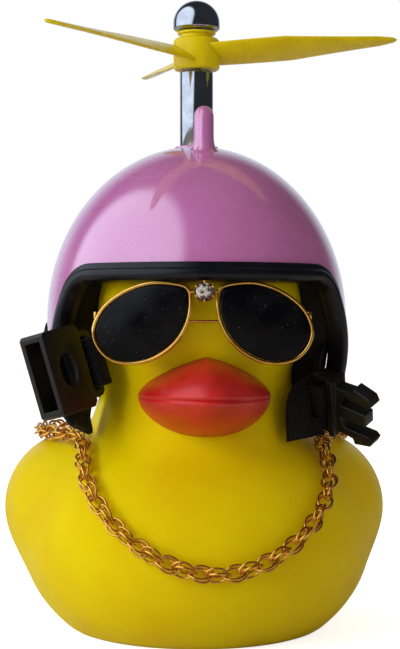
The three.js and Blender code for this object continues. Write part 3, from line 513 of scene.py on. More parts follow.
# A point on the smooth curve through some points
def curvePoint(points, share, closed=False):
    count = len(points)
    spot = (count if closed else count - 1) * share
    index = min(int(spot), count - 1 if closed else count - 2)
    weight = spot - index

    def at(i):
        if closed:
            return points[i % count]
        if i < 0:
            return points[0] * 2 - points[1]
        if i >= count:
            return points[-1] * 2 - points[-2]
        return points[i]

    a, b, c, d = (at(index + k) for k in (-1, 0, 1, 2))
    gaps = [max((q - p).length, 1e-4) ** 0.5 for p, q in ((a, b), (b, c), (c, d))]
    start = ((b - a) / gaps[0] - (c - a) / (gaps[0] + gaps[1]) + (c - b) / gaps[1]) * gaps[1]
    end = ((c - b) / gaps[1] - (d - b) / (gaps[1] + gaps[2]) + (d - c) / gaps[2]) * gaps[1]
    return (b + start * weight + (c * 3 - b * 3 - start * 2 - end) * weight ** 2
            + (b * 2 - c * 2 + start + end) * weight ** 3)


# Points at even distances along a line or loop
def evenly(points, count, closed=False):
    places = np.array([tuple(p) for p in points])
    if closed:
        places = np.vstack([places, places[:1]])
    run = np.concatenate([[0], np.cumsum(np.linalg.norm(np.diff(places, axis=0), axis=1))])
    wanted = np.linspace(0, run[-1], count + 1 if closed else count)
    spots = [Vector([float(np.interp(w, run, places[:, k])) for k in range(3)]) for w in wanted]
    return spots[:-1] if closed else spots


curveSteps = 400


def smoothPath(points, count, closed=False):
    steps = curveSteps if closed else curveSteps + 1
    return evenly([curvePoint(points, i / curveSteps, closed) for i in range(steps)], count, closed)


# Sweeps a section of (across, out) pairs along a path; facing says which way is out
def sweepSection(bm, points, facing, section, closed=False):
    count = len(points)
    rings = []
    for i, point in enumerate(points):
        before = points[(i - 1) % count] if closed else points[max(i - 1, 0)]
        after = points[(i + 1) % count] if closed else points[min(i + 1, count - 1)]
        along = (after - before).normalized()
        out = squared(facing(point), along)
        side = along.cross(out)
        rings.append([point + side * a + out * o for a, o in section])
    if closed:
        rings.append(rings[0])
    else:
        middles = [sum(ring, Vector()) / len(ring) for ring in (rings[0], rings[-1])]
        rings = [[middles[0]]] + rings + [[middles[1]]]
    ringGrid(bm, rings, len(section))


def roundSection(radius, sides=10):
    return [ringPoint(radius, tau * i / sides).to_2d() for i in range(sides)]


# Duck: eggs with a soft join, the same forms as the frame's. Each egg is its middle and half sizes.

duck = dict(
    body=((0, 2, 19), (36.5, 40, 27)), neck=((0, -1, 42), (21.5, 25, 18)),
    head=((0, -1, 67), (22.3, 27.5, 27)),
    wing=((24, 8, 24.6), (16.4, 24, 16)), tail=((0, 34, 27), (11, 15, 6)), tailLift=24,
    wingBlend=3, blend=5, middle=(0, 0, 42), fineness=7, footCut=0.9,
    footSteps=((0.9, 0.35), (0.8, 0.08), (0.8, 0.0)), squeakerAt=(0, 14),
    squeakerSteps=((7.2, 1.1), (6.0, 1.1), (6.0, 2.2), (8.5, 2.2), (8.5, 8.0)))


def eggDistance(points, middle, radii):
    scaled = (points - np.array(middle)) / np.array(radii)
    near = np.linalg.norm(scaled, axis=-1)
    return near * (near - 1) / np.maximum(np.linalg.norm(scaled / np.array(radii), axis=-1), 1e-6)


def softJoin(first, second, blend):
    mix = np.maximum(blend - np.abs(first - second), 0) / blend
    return np.minimum(first, second) - mix ** 2 * blend / 4


def duckDistance(points):
    mirrored = np.stack([np.abs(points[..., 0]), points[..., 1], points[..., 2]], axis=-1)
    trunk = softJoin(eggDistance(points, *duck["body"]), eggDistance(mirrored, *duck["wing"]),
                     duck["wingBlend"])
    lift = radians(duck["tailLift"])
    back = points - np.array(duck["tail"][0])
    level = np.stack([back[..., 0], back[..., 1] * cos(lift) + back[..., 2] * sin(lift),
                      back[..., 2] * cos(lift) - back[..., 1] * sin(lift)], axis=-1)
    rear = softJoin(trunk, eggDistance(level, (0, 0, 0), duck["tail"][1]), duck["blend"])
    upper = softJoin(eggDistance(points, *duck["head"]), eggDistance(points, *duck["neck"]), duck["blend"])
    return softJoin(rear, upper, duck["blend"])


skinReach, skinHalvings = 80.0, 32


# Walks out from points inside the duck to a set distance from its skin
def skinPoints(starts, ways, offset=0.0):
    starts, ways = (np.array([tuple(p) for p in points], dtype=float) for points in (starts, ways))
    near = np.zeros(len(ways))
    far = np.full(len(ways), skinReach)
    for _ in range(skinHalvings):
        middle = (near + far) / 2
        outside = duckDistance(starts + ways * middle[:, None]) > offset
        far = np.where(outside, middle, far)
        near = np.where(outside, near, middle)
    return [Vector(spot) for spot in starts + ways * near[:, None]]


def extrudedRim(bm, rim, move):
    made = bmesh.ops.extrude_edge_only(bm, edges=rim)["geom"]
    for vert in (part for part in made if isinstance(part, bmesh.types.BMVert)):
        vert.co = move(vert.co)
    return [part for part in made if isinstance(part, bmesh.types.BMEdge) and part.is_boundary]


def makeDuck():
    bm = bmesh.new()
    bmesh.ops.create_icosphere(bm, subdivisions=duck["fineness"], radius=1)
    starts = [duck["middle"]] * len(bm.verts)
    for vert, spot in zip(bm.verts, skinPoints(starts, [vert.co for vert in bm.verts])):
        vert.co = spot
    bmesh.ops.bisect_plane(bm, geom=bm.verts[:] + bm.edges[:] + bm.faces[:],
                           plane_co=(0, 0, duck["footCut"]), plane_no=(0, 0, -1), clear_outer=True)
    rim = [edge for edge in bm.edges if edge.is_boundary]
    for inward, height in duck["footSteps"]:
        def moveFoot(co, inward=inward, height=height):
            flat = Vector((co.x, co.y, 0))
            return flat * (1 - inward / flat.length) + Vector((0, 0, height))
        rim = extrudedRim(bm, rim, moveFoot)
    hole = Vector((*duck["squeakerAt"], 0))
    made = bmesh.ops.create_circle(bm, segments=64, radius=duck["squeakerSteps"][0][0],
                                   matrix=Matrix.Translation(hole))["verts"]
    holeRim = list({edge for vert in made for edge in vert.link_edges})
    bmesh.ops.triangle_fill(bm, use_beauty=True, edges=rim + holeRim, normal=(0, 0, -1))
    for radius, height in duck["squeakerSteps"]:
        def moveHole(co, radius=radius, height=height):
            flat = Vector((co.x - hole.x, co.y - hole.y, 0)).normalized()
            return hole + flat * radius + Vector((0, 0, height))
        holeRim = extrudedRim(bm, holeRim, moveHole)
    bmesh.ops.holes_fill(bm, edges=holeRim, sides=0)
    finished(bm, "duck_vinyl_body", yellowVinyl, "duck_body", sharp=50)


makeDuck()
print("duck body done")

bill = dict(middle=(0.4, -21.35, 48.9), halfWidth=13.2, reach=18.4, backShare=0.85, cornersBack=3.2,
            rise=8.3, risePower=1.15, riseFall=0.62, drop=8.2, dropPower=2.1, dropFall=0.55,
            fullness=1.75, lowerReach=0.95, mouthDepth=0.75, mouthWidth=0.34, mouthHeight=-0.15)


def billPoint(way):
    across = max(-1.0, min(1.0, way.x))
    radial = max(hypot(way.y, way.z), 1e-5)
    forward, up = -way.y / radial, way.z / radial
    out = abs(across)
    if up >= 0:
        high = bill["rise"] * (1 - out ** bill["risePower"]) ** bill["riseFall"]
        reach = bill["reach"]
    else:
        high = bill["drop"] * (1 - out ** bill["dropPower"]) ** bill["dropFall"]
        reach = bill["reach"] * (1 - (1 - bill["lowerReach"]) * min(1, -up * 3))
    reach *= sqrt(max(1 - across ** 2, 0))
    power = 2 / bill["fullness"]
    height = copysign(high * abs(up) ** power, up)
    if forward >= 0:
        depth = reach * forward ** power
        crease = exp(-((height - bill["mouthHeight"]) / bill["mouthWidth"]) ** 2)
        depth -= bill["mouthDepth"] * crease * min(1, depth / 4)
    else:
        depth = -reach * bill["backShare"] * (-forward) ** power
    return Vector(bill["middle"]) + Vector((across * bill["halfWidth"],
                                            bill["cornersBack"] * across ** 2 - depth, height))


def makeBill():
    bm = bmesh.new()
    bmesh.ops.create_uvsphere(bm, u_segments=200, v_segments=80, radius=1)
    bmesh.ops.rotate(bm, cent=(0, 0, 0), matrix=Matrix.Rotation(radians(90), 3, "Y"), verts=bm.verts)
    for vert in bm.verts:
        vert.co = billPoint(vert.co)
    finished(bm, "duck_red_bill", billPaint, "duck_body", sharp=60)


makeBill()
print("bill done")

# Helmet

helmet = dict(egg=((0, 0, 64), (31.2, 33.0, 36.2)), wall=1.6, brow=73.1, lobe=48.6, nape=62,
              cornerAngles=(55, 80, 97), cornerRadii=(7, 3.2, 6), columns=160, rows=48)


def roundedLine(corners, radii):
    points = [corners[0]]
    for before, corner, after, radius in zip(corners, corners[1:], corners[2:], radii):
        back = (before - corner).normalized()
        ahead = (after - corner).normalized()
        half = back.angle(ahead) / 2
        middle = corner + (back + ahead).normalized() * radius / sin(half)
        start = corner + back * radius / tan(half) - middle
        end = corner + ahead * radius / tan(half) - middle
        points += [middle + start.lerp(end, k / 10).normalized() * radius for k in range(11)]
    return points + [corners[-1]]


# The edge of a helmet piece all the way round, from the middle of the brow: turns and heights
def edgeLine(piece, columns):
    flat = helmet["egg"][1][0]
    brow, lobe, nape = piece["brow"], piece["lobe"], piece["nape"]
    corners = [Vector((radians(angle) * flat, height, 0)) for angle, height in
               zip((0, *piece["cornerAngles"], 180), (brow, brow, lobe, nape, nape))]
    half = evenly(roundedLine(corners, helmet["cornerRadii"]), columns // 2 + 1)
    turns = [p.x / flat for p in half] + [tau - p.x / flat for p in half[-2::-1]]
    heights = [p.y for p in half] + [p.y for p in half[-2::-1]]
    return turns, heights


# A point on an egg at a height and a turn from straight ahead, or a share of the way there from the top
def eggPoint(egg, turn, height, share=1.0):
    middle, radii = egg
    fall = acos((height - middle[2]) / radii[2]) * share
    return Vector((middle[0] + radii[0] * sin(fall) * sin(turn),
                   middle[1] - radii[1] * sin(fall) * cos(turn),
                   middle[2] + radii[2] * cos(fall)))


def grown(egg, by):
    return egg[0], tuple(r + by for r in egg[1])


def domeTop(x, y, lift=0.0):
    rx, ry, rz = helmet["egg"][1]
    return helmet["egg"][0][2] + rz * sqrt(1 - (x / rx) ** 2 - (y / ry) ** 2) + lift


def makeShell():
    bm = bmesh.new()
    turns, heights = edgeLine(helmet, helmet["columns"])

    def place(u, v):
        i = round(u * helmet["columns"])
        return eggPoint(helmet["egg"], turns[i], heights[i], v)

    shapedGrid(bm, helmet["columns"], helmet["rows"], place)
    shell = finished(bm, "helmet_pink_shell", pinkPlastic, "helmet_shell")
    solidified(shell, helmet["wall"], -1)


peg = dict(at=(1, -8.5), radius=2.05, top=107.8, crown=1.15, sides=40,
           foot=((3.3, -0.15), (2.85, 0.1), (2.5, 0.4), (2.25, 0.95), (2.1, 1.8), (2.05, 3.0)))
boss = ((0, 98.6), (4.7, 98.6), (4.7, 99.95), (4.55, 100.15), (4.2, 100.22), (0, 100.22))


# The peg's foot follows the dome, and its top is level
def makePeg():
    bm = bmesh.new()
    middle = Vector((*peg["at"], 0))
    angles = [tau * i / peg["sides"] for i in range(peg["sides"])]
    rings = []
    for radius, lift in peg["foot"]:
        ring = [middle + ringPoint(radius, angle) for angle in angles]
        rings.append([Vector((p.x, p.y, domeTop(p.x, p.y, lift))) for p in ring])
    for a in quarterTurn(10):
        height = peg["top"] - peg["radius"] * peg["crown"] * (1 - sin(a))
        rings.append([middle + ringPoint(peg["radius"] * cos(a), angle, height) for angle in angles])
    ringGrid(bm, rings, peg["sides"])
    turnedShape(bm, boss)
    finished(bm, "helmet_peg_and_boss", pinkPlastic, "helmet_shell")


makeShell()
makePeg()

# The rubber edging: a thin lip above a fat bead outside, and a short leg inside
trim = dict(section=((-1.8, 0.3), (-1.78, 0.62), (-1.66, 0.82), (-1.4, 0.9), (-0.75, 0.92), (-0.5, 0.98),
                     (-0.36, 1.18), (-0.15, 1.38), (0.3, 1.46), (0.9, 1.4), (1.35, 1.16), (1.65, 0.7),
                     (1.8, 0.0), (1.76, -1.2), (1.6, -2.2), (1.3, -2.6), (-0.8, -2.62), (-1.05, -2.5),
                     (-1.08, -2.1), (0.6, -2.05), (0.63, 0.45), (-1.6, 0.28)), columns=240)


def makeTrim():
    bm = bmesh.new()
    points = [eggPoint(helmet["egg"], turn, height)
              for turn, height in list(zip(*edgeLine(helmet, trim["columns"])))[:-1]]
    middle, radii = helmet["egg"]

    def facing(point):
        return Vector([a / r ** 2 for a, r in zip(point - Vector(middle), radii)]).normalized()

    sweepSection(bm, points, facing, trim["section"], closed=True)
    finished(bm, "helmet_rubber_trim", blackRubber, "helmet_trim", sharp=55)


makeTrim()

# The liner's outer side, its edge, and where the straps press into it
liner = dict(egg=((0, 0, 64), (28.5, 30.3, 33.5)), headGap=0.05, innerMiddle=(0, -1, 67), brow=75.5,
             lobe=42.5, nape=64.4, cornerAngles=(56, 80, 96), columns=180, rows=30, edgeDrop=0.7, fill=0.9,
             dent=1.0, dentReach=(4.6, 5.6), dentSpots=12,
             pressed=(((-28.0, 0.9, 56.6), (-27.9, -3.0, 56.6), (-25.7, -8.6, 56.4), (-24.5, -12.4, 55.9)),
                      ((27.9, -0.9, 59.6), (27.5, -4.4, 57.6), (24.2, -10.2, 53.6))))
pressedSpots = [spot for line in liner["pressed"] for spot in
                evenly([Vector(p) for p in line], liner["dentSpots"])]


def dentAt(point):
    nearest = min((point - spot).length for spot in pressedSpots)
    near, far = liner["dentReach"]
    share = max(0.0, min(1.0, (far - nearest) / (far - near)))
    return liner["dent"] * share * share * (3 - 2 * share)


def makeLiner():
    bm = bmesh.new()
    rows, columns = liner["rows"], liner["columns"]
    line = list(zip(*edgeLine(liner, columns)))
    middle = Vector(liner["innerMiddle"])
    outer = [[eggPoint(liner["egg"], turn, height, row / rows) for turn, height in line]
             for row in range(rows + 1)]
    spots = [point for ring in outer for point in ring]
    starts = [Vector((middle.x, middle.y, min(point.z, middle.z))) for point in spots]
    ways = [(point - start).normalized() for point, start in zip(spots, starts)]
    skin = skinPoints(starts, ways, liner["headGap"])
    inner = [skin[i:i + columns + 1] for i in range(0, len(skin), columns + 1)]
    for ring in outer[rows // 3:]:
        for i, point in enumerate(ring):
            ring[i] = point + (middle - point).normalized() * dentAt(point)
    # A rounded edge joins the two sides
    edge = [a.lerp(b, 0.5) - Vector((0, 0, liner["edgeDrop"])) for a, b in zip(outer[rows], inner[rows])]
    ringGrid(bm, outer + [edge] + inner[::-1], columns)
    piece = finished(bm, "helmet_foam_liner", blackFoam, "helmet_liner", sharp=80)


makeLiner()
print("helmet done")

# Propeller and post

post = dict(radius=3.5, bore=1.25, bottom=100.25, top=116.05, edge=0.3)
cap = dict(radius=4.9, bottom=124.65, skirt=1.5, top=130.95, bore=1.2, boreTop=129.65, edge=0.45)


def makeSpun(name, profile, material, node, rounding):
    bm = bmesh.new()
    turnedShape(bm, profile, 72)
    softened(bm, rounding, 25)
    finished(bm, name, material, node)


def makePost():
    inner, outer, bottom, top = post["bore"], post["radius"], post["bottom"], post["top"]
    makeSpun("chrome_post", [(inner, bottom), (outer, bottom), (outer, top - post["edge"]),
                             (outer - post["edge"], top), (inner, top), (inner, bottom)],
             chrome, "propeller_post", 0.12)


def makeCap():
    bore, boreTop, radius, bottom = cap["bore"], cap["boreTop"], cap["radius"], cap["bottom"]
    level = bottom + cap["skirt"]
    dome = [(radius * cos(a), between(level, cap["top"], sin(a))) for a in quarterTurn(6)]
    makeSpun("chrome_cap", [(0, boreTop), (bore, boreTop), (bore, bottom), (radius - cap["edge"], bottom),
                            (radius, bottom + cap["edge"]), *dome[:-1], (0, cap["top"])],
             chrome, "propeller_cap", 0.1)


makePost()
makeCap()

# A blade is rootChord wide at the hub, wideChord where it swells and tipChord before its round tip
propeller = dict(hub=((1.3, 116.35), (4.45, 116.35), (4.85, 116.75), (4.85, 122.45), (4.35, 122.95),
                      (3.4, 122.95), (3.4, 123.85), (4.0, 123.85), (4.0, 124.35), (1.3, 124.35),
                      (1.3, 116.35)),
                 blades=3, middle=119.65, innermost=3, root=3.395, tip=42, firstAngle=-17, rise=1.4,
                 rootChord=7.5, wideChord=9.4, tipChord=3.6, widestAt=0.62, narrowFrom=0.4, tipStart=0.87,
                 thickness=1.1, rootThick=1.35, thinning=0.6, thinChord=2, blunt=0.3,
                 rootPitch=-30, tipPitch=-14, rows=30, rowsTo=0.86, sides=28)


def bladePoint(turn, share, around):
    along, side = ringPoint(1, turn), Vector((-sin(turn), cos(turn), 0))
    swell = sin(pi * min(share / propeller["widestAt"], 1) / 2)
    wide = between(propeller["rootChord"], propeller["wideChord"], swell)
    narrowing = max(share - propeller["narrowFrom"], 0) / (1 - propeller["narrowFrom"])
    chord = min(wide, between(propeller["wideChord"], propeller["tipChord"], narrowing))
    if share > propeller["tipStart"]:
        past = (share - propeller["tipStart"]) / (1 - propeller["tipStart"])
        chord *= sqrt(max(1 - past ** 2, 0.0))
    pitch = radians(between(propeller["rootPitch"], propeller["tipPitch"], share))
    middle = along * between(propeller["root"], propeller["tip"], share)
    middle.z = propeller["middle"] + propeller["rise"] * share
    lean = side * cos(pitch) + Vector((0, 0, sin(pitch)))
    face = along.cross(lean)
    # Fat near the hub, thin at the tip and at both edges
    thick = propeller["thickness"] * (propeller["rootThick"] - propeller["thinning"] * share)
    thick *= min(1, chord / propeller["thinChord"])
    a, b = cos(around), sin(around)
    return middle + lean * a * chord / 2 + face * b * abs(b) ** propeller["blunt"] * thick / 2


def makePropeller():
    bm = bmesh.new()
    turnedShape(bm, propeller["hub"], 72)
    softened(bm, 0.12, 25)
    rows, rowsTo, sides = propeller["rows"], propeller["rowsTo"], propeller["sides"]
    shares = [i / rows * rowsTo for i in range(rows + 1)] + [between(rowsTo, 1, sin(a))
                                                             for a in quarterTurn(6)[1:]]
    for blade in range(propeller["blades"]):
        turn = radians(propeller["firstAngle"]) + tau * blade / propeller["blades"]
        rings = [[bladePoint(turn, share, tau * i / sides) for i in range(sides)] for share in shares]
        ringGrid(bm, [[ringPoint(propeller["innermost"], turn, propeller["middle"])]] + rings, sides)
    finished(bm, "yellow_propeller", yellowPlastic, "propeller", body="propeller")


makePropeller()
print("propeller done")

# Sunglasses

glasses = dict(front=-31.7, offset=-0.5, wrap=8, lensWidth=18.4, lensHeight=15.2, bottom=55.6, bridgeGap=5.2,
               rim=0.38, bridge=0.28, lowerBridge=63.6, jewelHeight=69.28, rimSteps=90,
               bulge=0.9, lensThickness=0.7, lensSides=96, lensRows=14, lensAhead=0.3, lensGap=0.02,
               armFrom=(0.97, 0.6), armGap=0.6, armTurns=(62, 76, 90, 104), armSteps=40,
               hinge=(1.0, 2.2, 1.5), hingeAhead=0.9, hingeRound=0.22,
               outline=((0, 0.8), (0.03, 0.94), (0.2, 1), (0.43, 1), (0.7, 0.88), (0.91, 0.67), (1, 0.42),
                        (0.97, 0.24), (0.85, 0.07), (0.65, 0), (0.45, 0.03), (0.27, 0.14), (0.13, 0.3),
                        (0.03, 0.53)))
wrap = radians(glasses["wrap"])


def lensPoint(side, across, height):
    return Vector((glasses["offset"] + side * (glasses["bridgeGap"] / 2 + across),
                   glasses["front"] + across * tan(wrap), height))


def lensFacing(side):
    return Vector((side * sin(wrap), -cos(wrap), 0))


def lensLoop(side, count, inset=0.0):
    width, height = glasses["lensWidth"], glasses["lensHeight"]
    flat = smoothPath([Vector((a * width, u * height, 0)) for a, u in glasses["outline"]], count, True)
    middle = Vector((width / 2, height / 2, 0))
    loop = [p - (p - middle).normalized() * inset for p in flat]
    return [lensPoint(side, p.x, glasses["bottom"] + p.y) for p in loop]


def templePath(side):
    across, up = glasses["armFrom"]
    start = lensPoint(side, glasses["lensWidth"] * across, glasses["bottom"] + glasses["lensHeight"] * up)
    near = grown(duck["head"], glasses["armGap"])
    behind = [eggPoint(near, side * radians(turn), start.z) for turn in glasses["armTurns"]]
    return smoothPath([start] + behind, glasses["armSteps"])


def makeGlasses():
    bm = bmesh.new()
    upward = Vector((0, 0, 1))
    for side in (-1, 1):
        sweepSection(bm, lensLoop(side, glasses["rimSteps"]), lambda p, side=side: lensFacing(side),
                     roundSection(glasses["rim"]), closed=True)
        arm = templePath(side)
        sweepSection(bm, arm, lambda p: upward, roundSection(glasses["rim"]))
        # The hinge block where the arm meets the rim
        block = bmesh.ops.create_cube(bm, size=1)["verts"]
        along = (arm[3] - arm[0]).normalized()
        shape = Matrix.Translation(arm[0] + along * glasses["hingeAhead"]) \
            @ along.to_track_quat("Y", "Z").to_matrix().to_4x4() @ Matrix.Diagonal((*glasses["hinge"], 1))
        bmesh.ops.transform(bm, matrix=shape, verts=block)
        bevelled(bm, list({edge for vert in block for edge in vert.link_edges}), glasses["hingeRound"], 2)
    for height, radius, across in ((glasses["jewelHeight"], glasses["rim"], 0.1),
                                   (glasses["lowerBridge"], glasses["bridge"], 0.5)):
        ends = [lensPoint(side, across, height) for side in (-1, 1)]
        sweepSection(bm, evenly(ends, 8), lambda p: upward, roundSection(radius))
    finished(bm, "gold_glasses_frame", frameGold, "sunglasses_frame")


def makeLensPiece(name, side, node):
    bm = bmesh.new()
    loop = lensLoop(side, glasses["lensSides"], glasses["rim"] + glasses["lensGap"])
    middle = sum(loop, Vector()) / len(loop)
    facing = lensFacing(side)

    def place(u, v):
        edge = pickedFrom(loop, round(u * len(loop)))
        return middle.lerp(edge, v) + facing * (glasses["bulge"] * (1 - v * v) + glasses["lensAhead"])

    shapedGrid(bm, len(loop), glasses["lensRows"], place)
    lens = finished(bm, name, blackLens, node, recalc=False)
    # The walls grow away from the front, whichever way the grid came out
    ahead = lens.data.polygons[0].normal.dot(facing) > 0
    solidified(lens, glasses["lensThickness"], -1 if ahead else 1)


makeGlasses()
makeLensPiece("black_lens_right", -1, "lens_right")
makeLensPiece("black_lens_left", 1, "lens_left")

# The stone is (radius, height, shift in shares of a side) rings: a pointed back, a crown and a flat table
jewel = dict(back=-32.18, cup=((0, 0), (1.26, 0), (2.1, 1.12), (2.1, 1.5), (1.85, 1.5), (1.8, 1.2),
                               (1.05, 0.3), (0, 0.3)),
             claws=6, clawRadius=0.3, clawAt=(1.82, 1.6), sides=8,
             stone=((0.02, 0.65, 0.0), (1.66, 1.5, 0.0), (1.66, 1.58, 0.0), (1.36, 1.84, 0.5),
                    (0.92, 2.05, 0.0), (0.0, 2.05, 0.0)))
towardsFront = Matrix.Translation((glasses["offset"], jewel["back"], glasses["jewelHeight"])) \
    @ Matrix.Rotation(radians(90), 4, "X")


def makeJewel():
    bm = bmesh.new()
    turnedShape(bm, jewel["cup"], 48, towardsFront)
    radius, height = jewel["clawAt"]
    for claw in range(jewel["claws"]):
        spot = ringPoint(radius, tau * (claw + 0.5) / jewel["claws"], height)
        bmesh.ops.create_icosphere(bm, subdivisions=3, radius=jewel["clawRadius"],
                                   matrix=towardsFront @ Matrix.Translation(spot))
    finished(bm, "gold_jewel_cup", frameGold, "jewel_cup")
    bm = bmesh.new()
    sides = jewel["sides"]
    rings = [[towardsFront @ ringPoint(radius, tau * (i / 2 + shift) / sides, height)
              for i in range(sides * 2)] for radius, height, shift in jewel["stone"]]
    ringGrid(bm, rings, sides * 2)
    bmesh.ops.triangulate(bm, faces=bm.faces)
    finished(bm, "bridge_crystal", crystal, "bridge_jewel", sharp=4)


makeJewel()
print("glasses done")

# Chin strap and its buckle

# The section goes up one face of the ribbon, over the edge and back, in shares of the width and thickness
strapLook = dict(width=10, thickness=1.1, slotInset=2.7, lobeGap=-3.8, reach=0.002,
                 face=((-0.5, 0.0), (-0.49, 0.7), (-0.46, 1.0), (-0.3, 1.0), (-0.15, 1.0), (0.0, 1.0),
                       (0.15, 1.0), (0.3, 1.0), (0.46, 1.0), (0.49, 0.7)))
strapSection = [(a * way, o * way) for way in (1, -1) for a, o in strapLook["face"]]


# Where a buckle half lies: at(back, out, along) is a point seen from the middle of its slot
def buckleFrame(place, widthWay, mouthWay, length):
    rear = -Vector(mouthWay).normalized()
    across = squared(Vector(widthWay), rear)
    out = across.cross(rear)
    slot = Vector(place) + rear * (length - strapLook["slotInset"])

    def at(back, outward, along=0.0):
        return slot + rear * back + out * outward + across * along

    return at, across, rear


tilt, yaw = radians(16), radians(46)
socketAt, socketAcross, socketRear = buckleFrame(
    (-31.4, -28, 52.8), (-sin(tilt), 0, cos(tilt)),
    (-cos(yaw) * cos(tilt), -sin(yaw), -cos(yaw) * sin(tilt)), 14.4)
plugAt, plugAcross, _ = buckleFrame((27.8, -16.4, 46.7), (-0.15, 0.74, -0.64), (0.72, -0.62, -0.32), 5.2)


def insideLobe(side, angle, height):
    return eggPoint(grown(helmet["egg"], strapLook["lobeGap"]), side * radians(angle), height)


# A strap: a grid along its route, with a map in millimetres for the weave
def addStrap(bm, points, widths, steps, closed=False):
    mapLayer = bm.loops.layers.uv.get("weave") or bm.loops.layers.uv.new("weave")

    def spotAt(share):
        return curvePoint(points, share % 1 if closed else max(0, min(share, 1)), closed)

    rows = []
    run = 0.0
    for i in range(steps + 1):
        share = i / steps
        point = spotAt(share)
        along = (spotAt(share + strapLook["reach"]) - spotAt(share - strapLook["reach"])).normalized()
        across = squared(curvePoint(widths, share) if len(widths) > 1 else widths[0], along)
        if rows:
            run += (point - rows[-1][0]).length
        rows.append((point, across, along.cross(across), run))
    width, half, sides = strapLook["width"], strapLook["thickness"] / 2, len(strapSection)

    def partsOf(vert):
        u, v = vert.co.x + 0.5, vert.co.y + 0.5
        return pickedFrom(strapSection, round(u * sides)), rows[round(v * steps)]

    made = bmesh.ops.create_grid(bm, x_segments=sides, y_segments=steps, size=0.5)["verts"]
    for face in {face for vert in made for face in vert.link_faces}:
        for loop in face.loops:
            (a, _), row = partsOf(loop.vert)
            loop[mapLayer].uv = ((a + 0.5) * width, row[3])
    for vert in made:
        (a, o), (point, across, out, _) = partsOf(vert)
        vert.co = point + across * a * width + out * o * half
    bmesh.ops.remove_doubles(bm, verts=made, dist=joinWithin)
    if not closed:
        bmesh.ops.holes_fill(bm, edges=[edge for edge in bm.edges if edge.is_boundary], sides=0)


# The right strap comes down inside the lobe, goes round the socket's bar and back through its slot
def makeRightStrap():
    bm = bmesh.new()
    at, across, rear = socketAt, socketAcross, socketRear
    barBack, barFront, barRear = 3.55, 2.558, 4.05
    up = Vector((-0.18, 0, 1))
    addStrap(bm, [insideLobe(-1, 92, 56.6), insideLobe(-1, 84, 56.6), Vector((-25.7, -8.6, 56.4)),
                  Vector((-24.5, -12.4, 55.9)), at(barBack + 0.7, barRear + 0.3),
                  at(barBack + 0.1, barRear - 1.6), at(barBack, 0), at(barBack - 0.7, -barFront - 0.4),
                  at(1.44, -barFront - 0.9), at(0.2, -barFront - 0.2), at(0, 1), at(0, barRear),
                  at(0.1, barRear + 0.9)],
             [up] * 4 + [across] * 9, 90)
    # Its loose end
    addStrap(bm, [at(0.9, barRear + 0.97, -2.1), at(0.8, barRear + 1.5, -5.5), at(0, barRear + 1.6, -9.5),
                  at(-0.6, barRear + 0.6, -12.3)],
             [rear, rear, Vector((0.45, 0.85, 0)), Vector((0.25, 0.95, 0))], 30)
    finished(bm, "webbing_strap_right", blackWebbing, "chin_strap_right", sharp=60)


# The left strap passes behind the plug, and a loop of it goes round the plug's bar
def makeLeftStrap():
    bm = bmesh.new()
    barRear, barSide = 3.55, 2.35
    addStrap(bm, [insideLobe(1, 88, 59.6), insideLobe(1, 81, 57.6), Vector((24.2, -10.2, 53.6)),
                  plugAt(barRear + 1.0, 1.4), Vector((19.8, -18.6, 45.6)), Vector((20.6, -18.8, 40.4))],
             [Vector(w) for w in ((0, 0.71, -0.7), (0, 0.71, -0.7), (0.12, 0.8, -0.5), (0.25, 0.8, -0.45),
                                  (0.6, 0.78, 0), (0.82, 0.55, 0.05))], 60)
    loop = ((0.05, -0.5), (0.05, 0.5), (0.18, 0.95), (0.5, 1.1), (0.82, 0.95), (1, 0.5), (1, -0.5),
            (0.82, -0.95), (0.5, -1.1), (0.18, -0.95))
    addStrap(bm, [plugAt(back * barRear, side * barSide) for back, side in loop], [plugAcross], 50,
             closed=True)
    finished(bm, "webbing_strap_left", blackWebbing, "chin_strap_left", sharp=60)


# A buckle half is the frame's own solid with its edges rounded as moulded plastic's are
def makeBuckle(name, node, rounding):
    bm = bmesh.new()
    bm.from_mesh(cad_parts[node].data)
    bmesh.ops.scale(bm, vec=(1 / metre, 1 / metre, 1 / metre), verts=bm.verts)
    bmesh.ops.remove_doubles(bm, verts=bm.verts, dist=joinWithin)
    bmesh.ops.dissolve_limit(bm, angle_limit=radians(1.5), verts=bm.verts, edges=bm.edges)
    softened(bm, rounding)
    finished(bm, name, blackPlastic, node)


makeRightStrap()
makeLeftStrap()
makeBuckle("socket_half", "buckle_socket", 0.28)
makeBuckle("plug_half", "buckle_plug", 0.22)
print("chin strap done")

# Neck chain: each link is a pair of thin oval rings

# It hangs lowest at a turn from straight ahead, and is up at the neck's height at the sides and behind
chain = dict(pitch=3.2, width=3.6, wire=0.25, halfLong=2.15, pairStep=0.55, pairSplay=23, lean=45, uneven=7,
             lowPoint=16.6, neckHeight=40.5, spread=1.25, turn=2.4, rest=2.012, corners=72, spots=1200,
             alongReach=4, ringSteps=22, wireSides=8, claspLength=6.5)


def chainRun():
    starts, ways = [], []
    for i in range(chain["corners"]):
        turn = tau * i / chain["corners"]
        past = abs(turn - radians(chain["turn"]))
        fromFront = min(past, tau - past)
        drape = cos(min(chain["spread"] * fromFront, pi / 2)) ** 2
        starts.append((0, 0, between(chain["neckHeight"], chain["lowPoint"], drape)))
        ways.append((sin(turn), -cos(turn), 0))
    return smoothPath(skinPoints(starts, ways, chain["rest"]), chain["spots"], True)


chainSpots = chainRun()
chainLength = sum((b - a).length for a, b in zip(chainSpots, chainSpots[1:] + chainSpots[:1]))


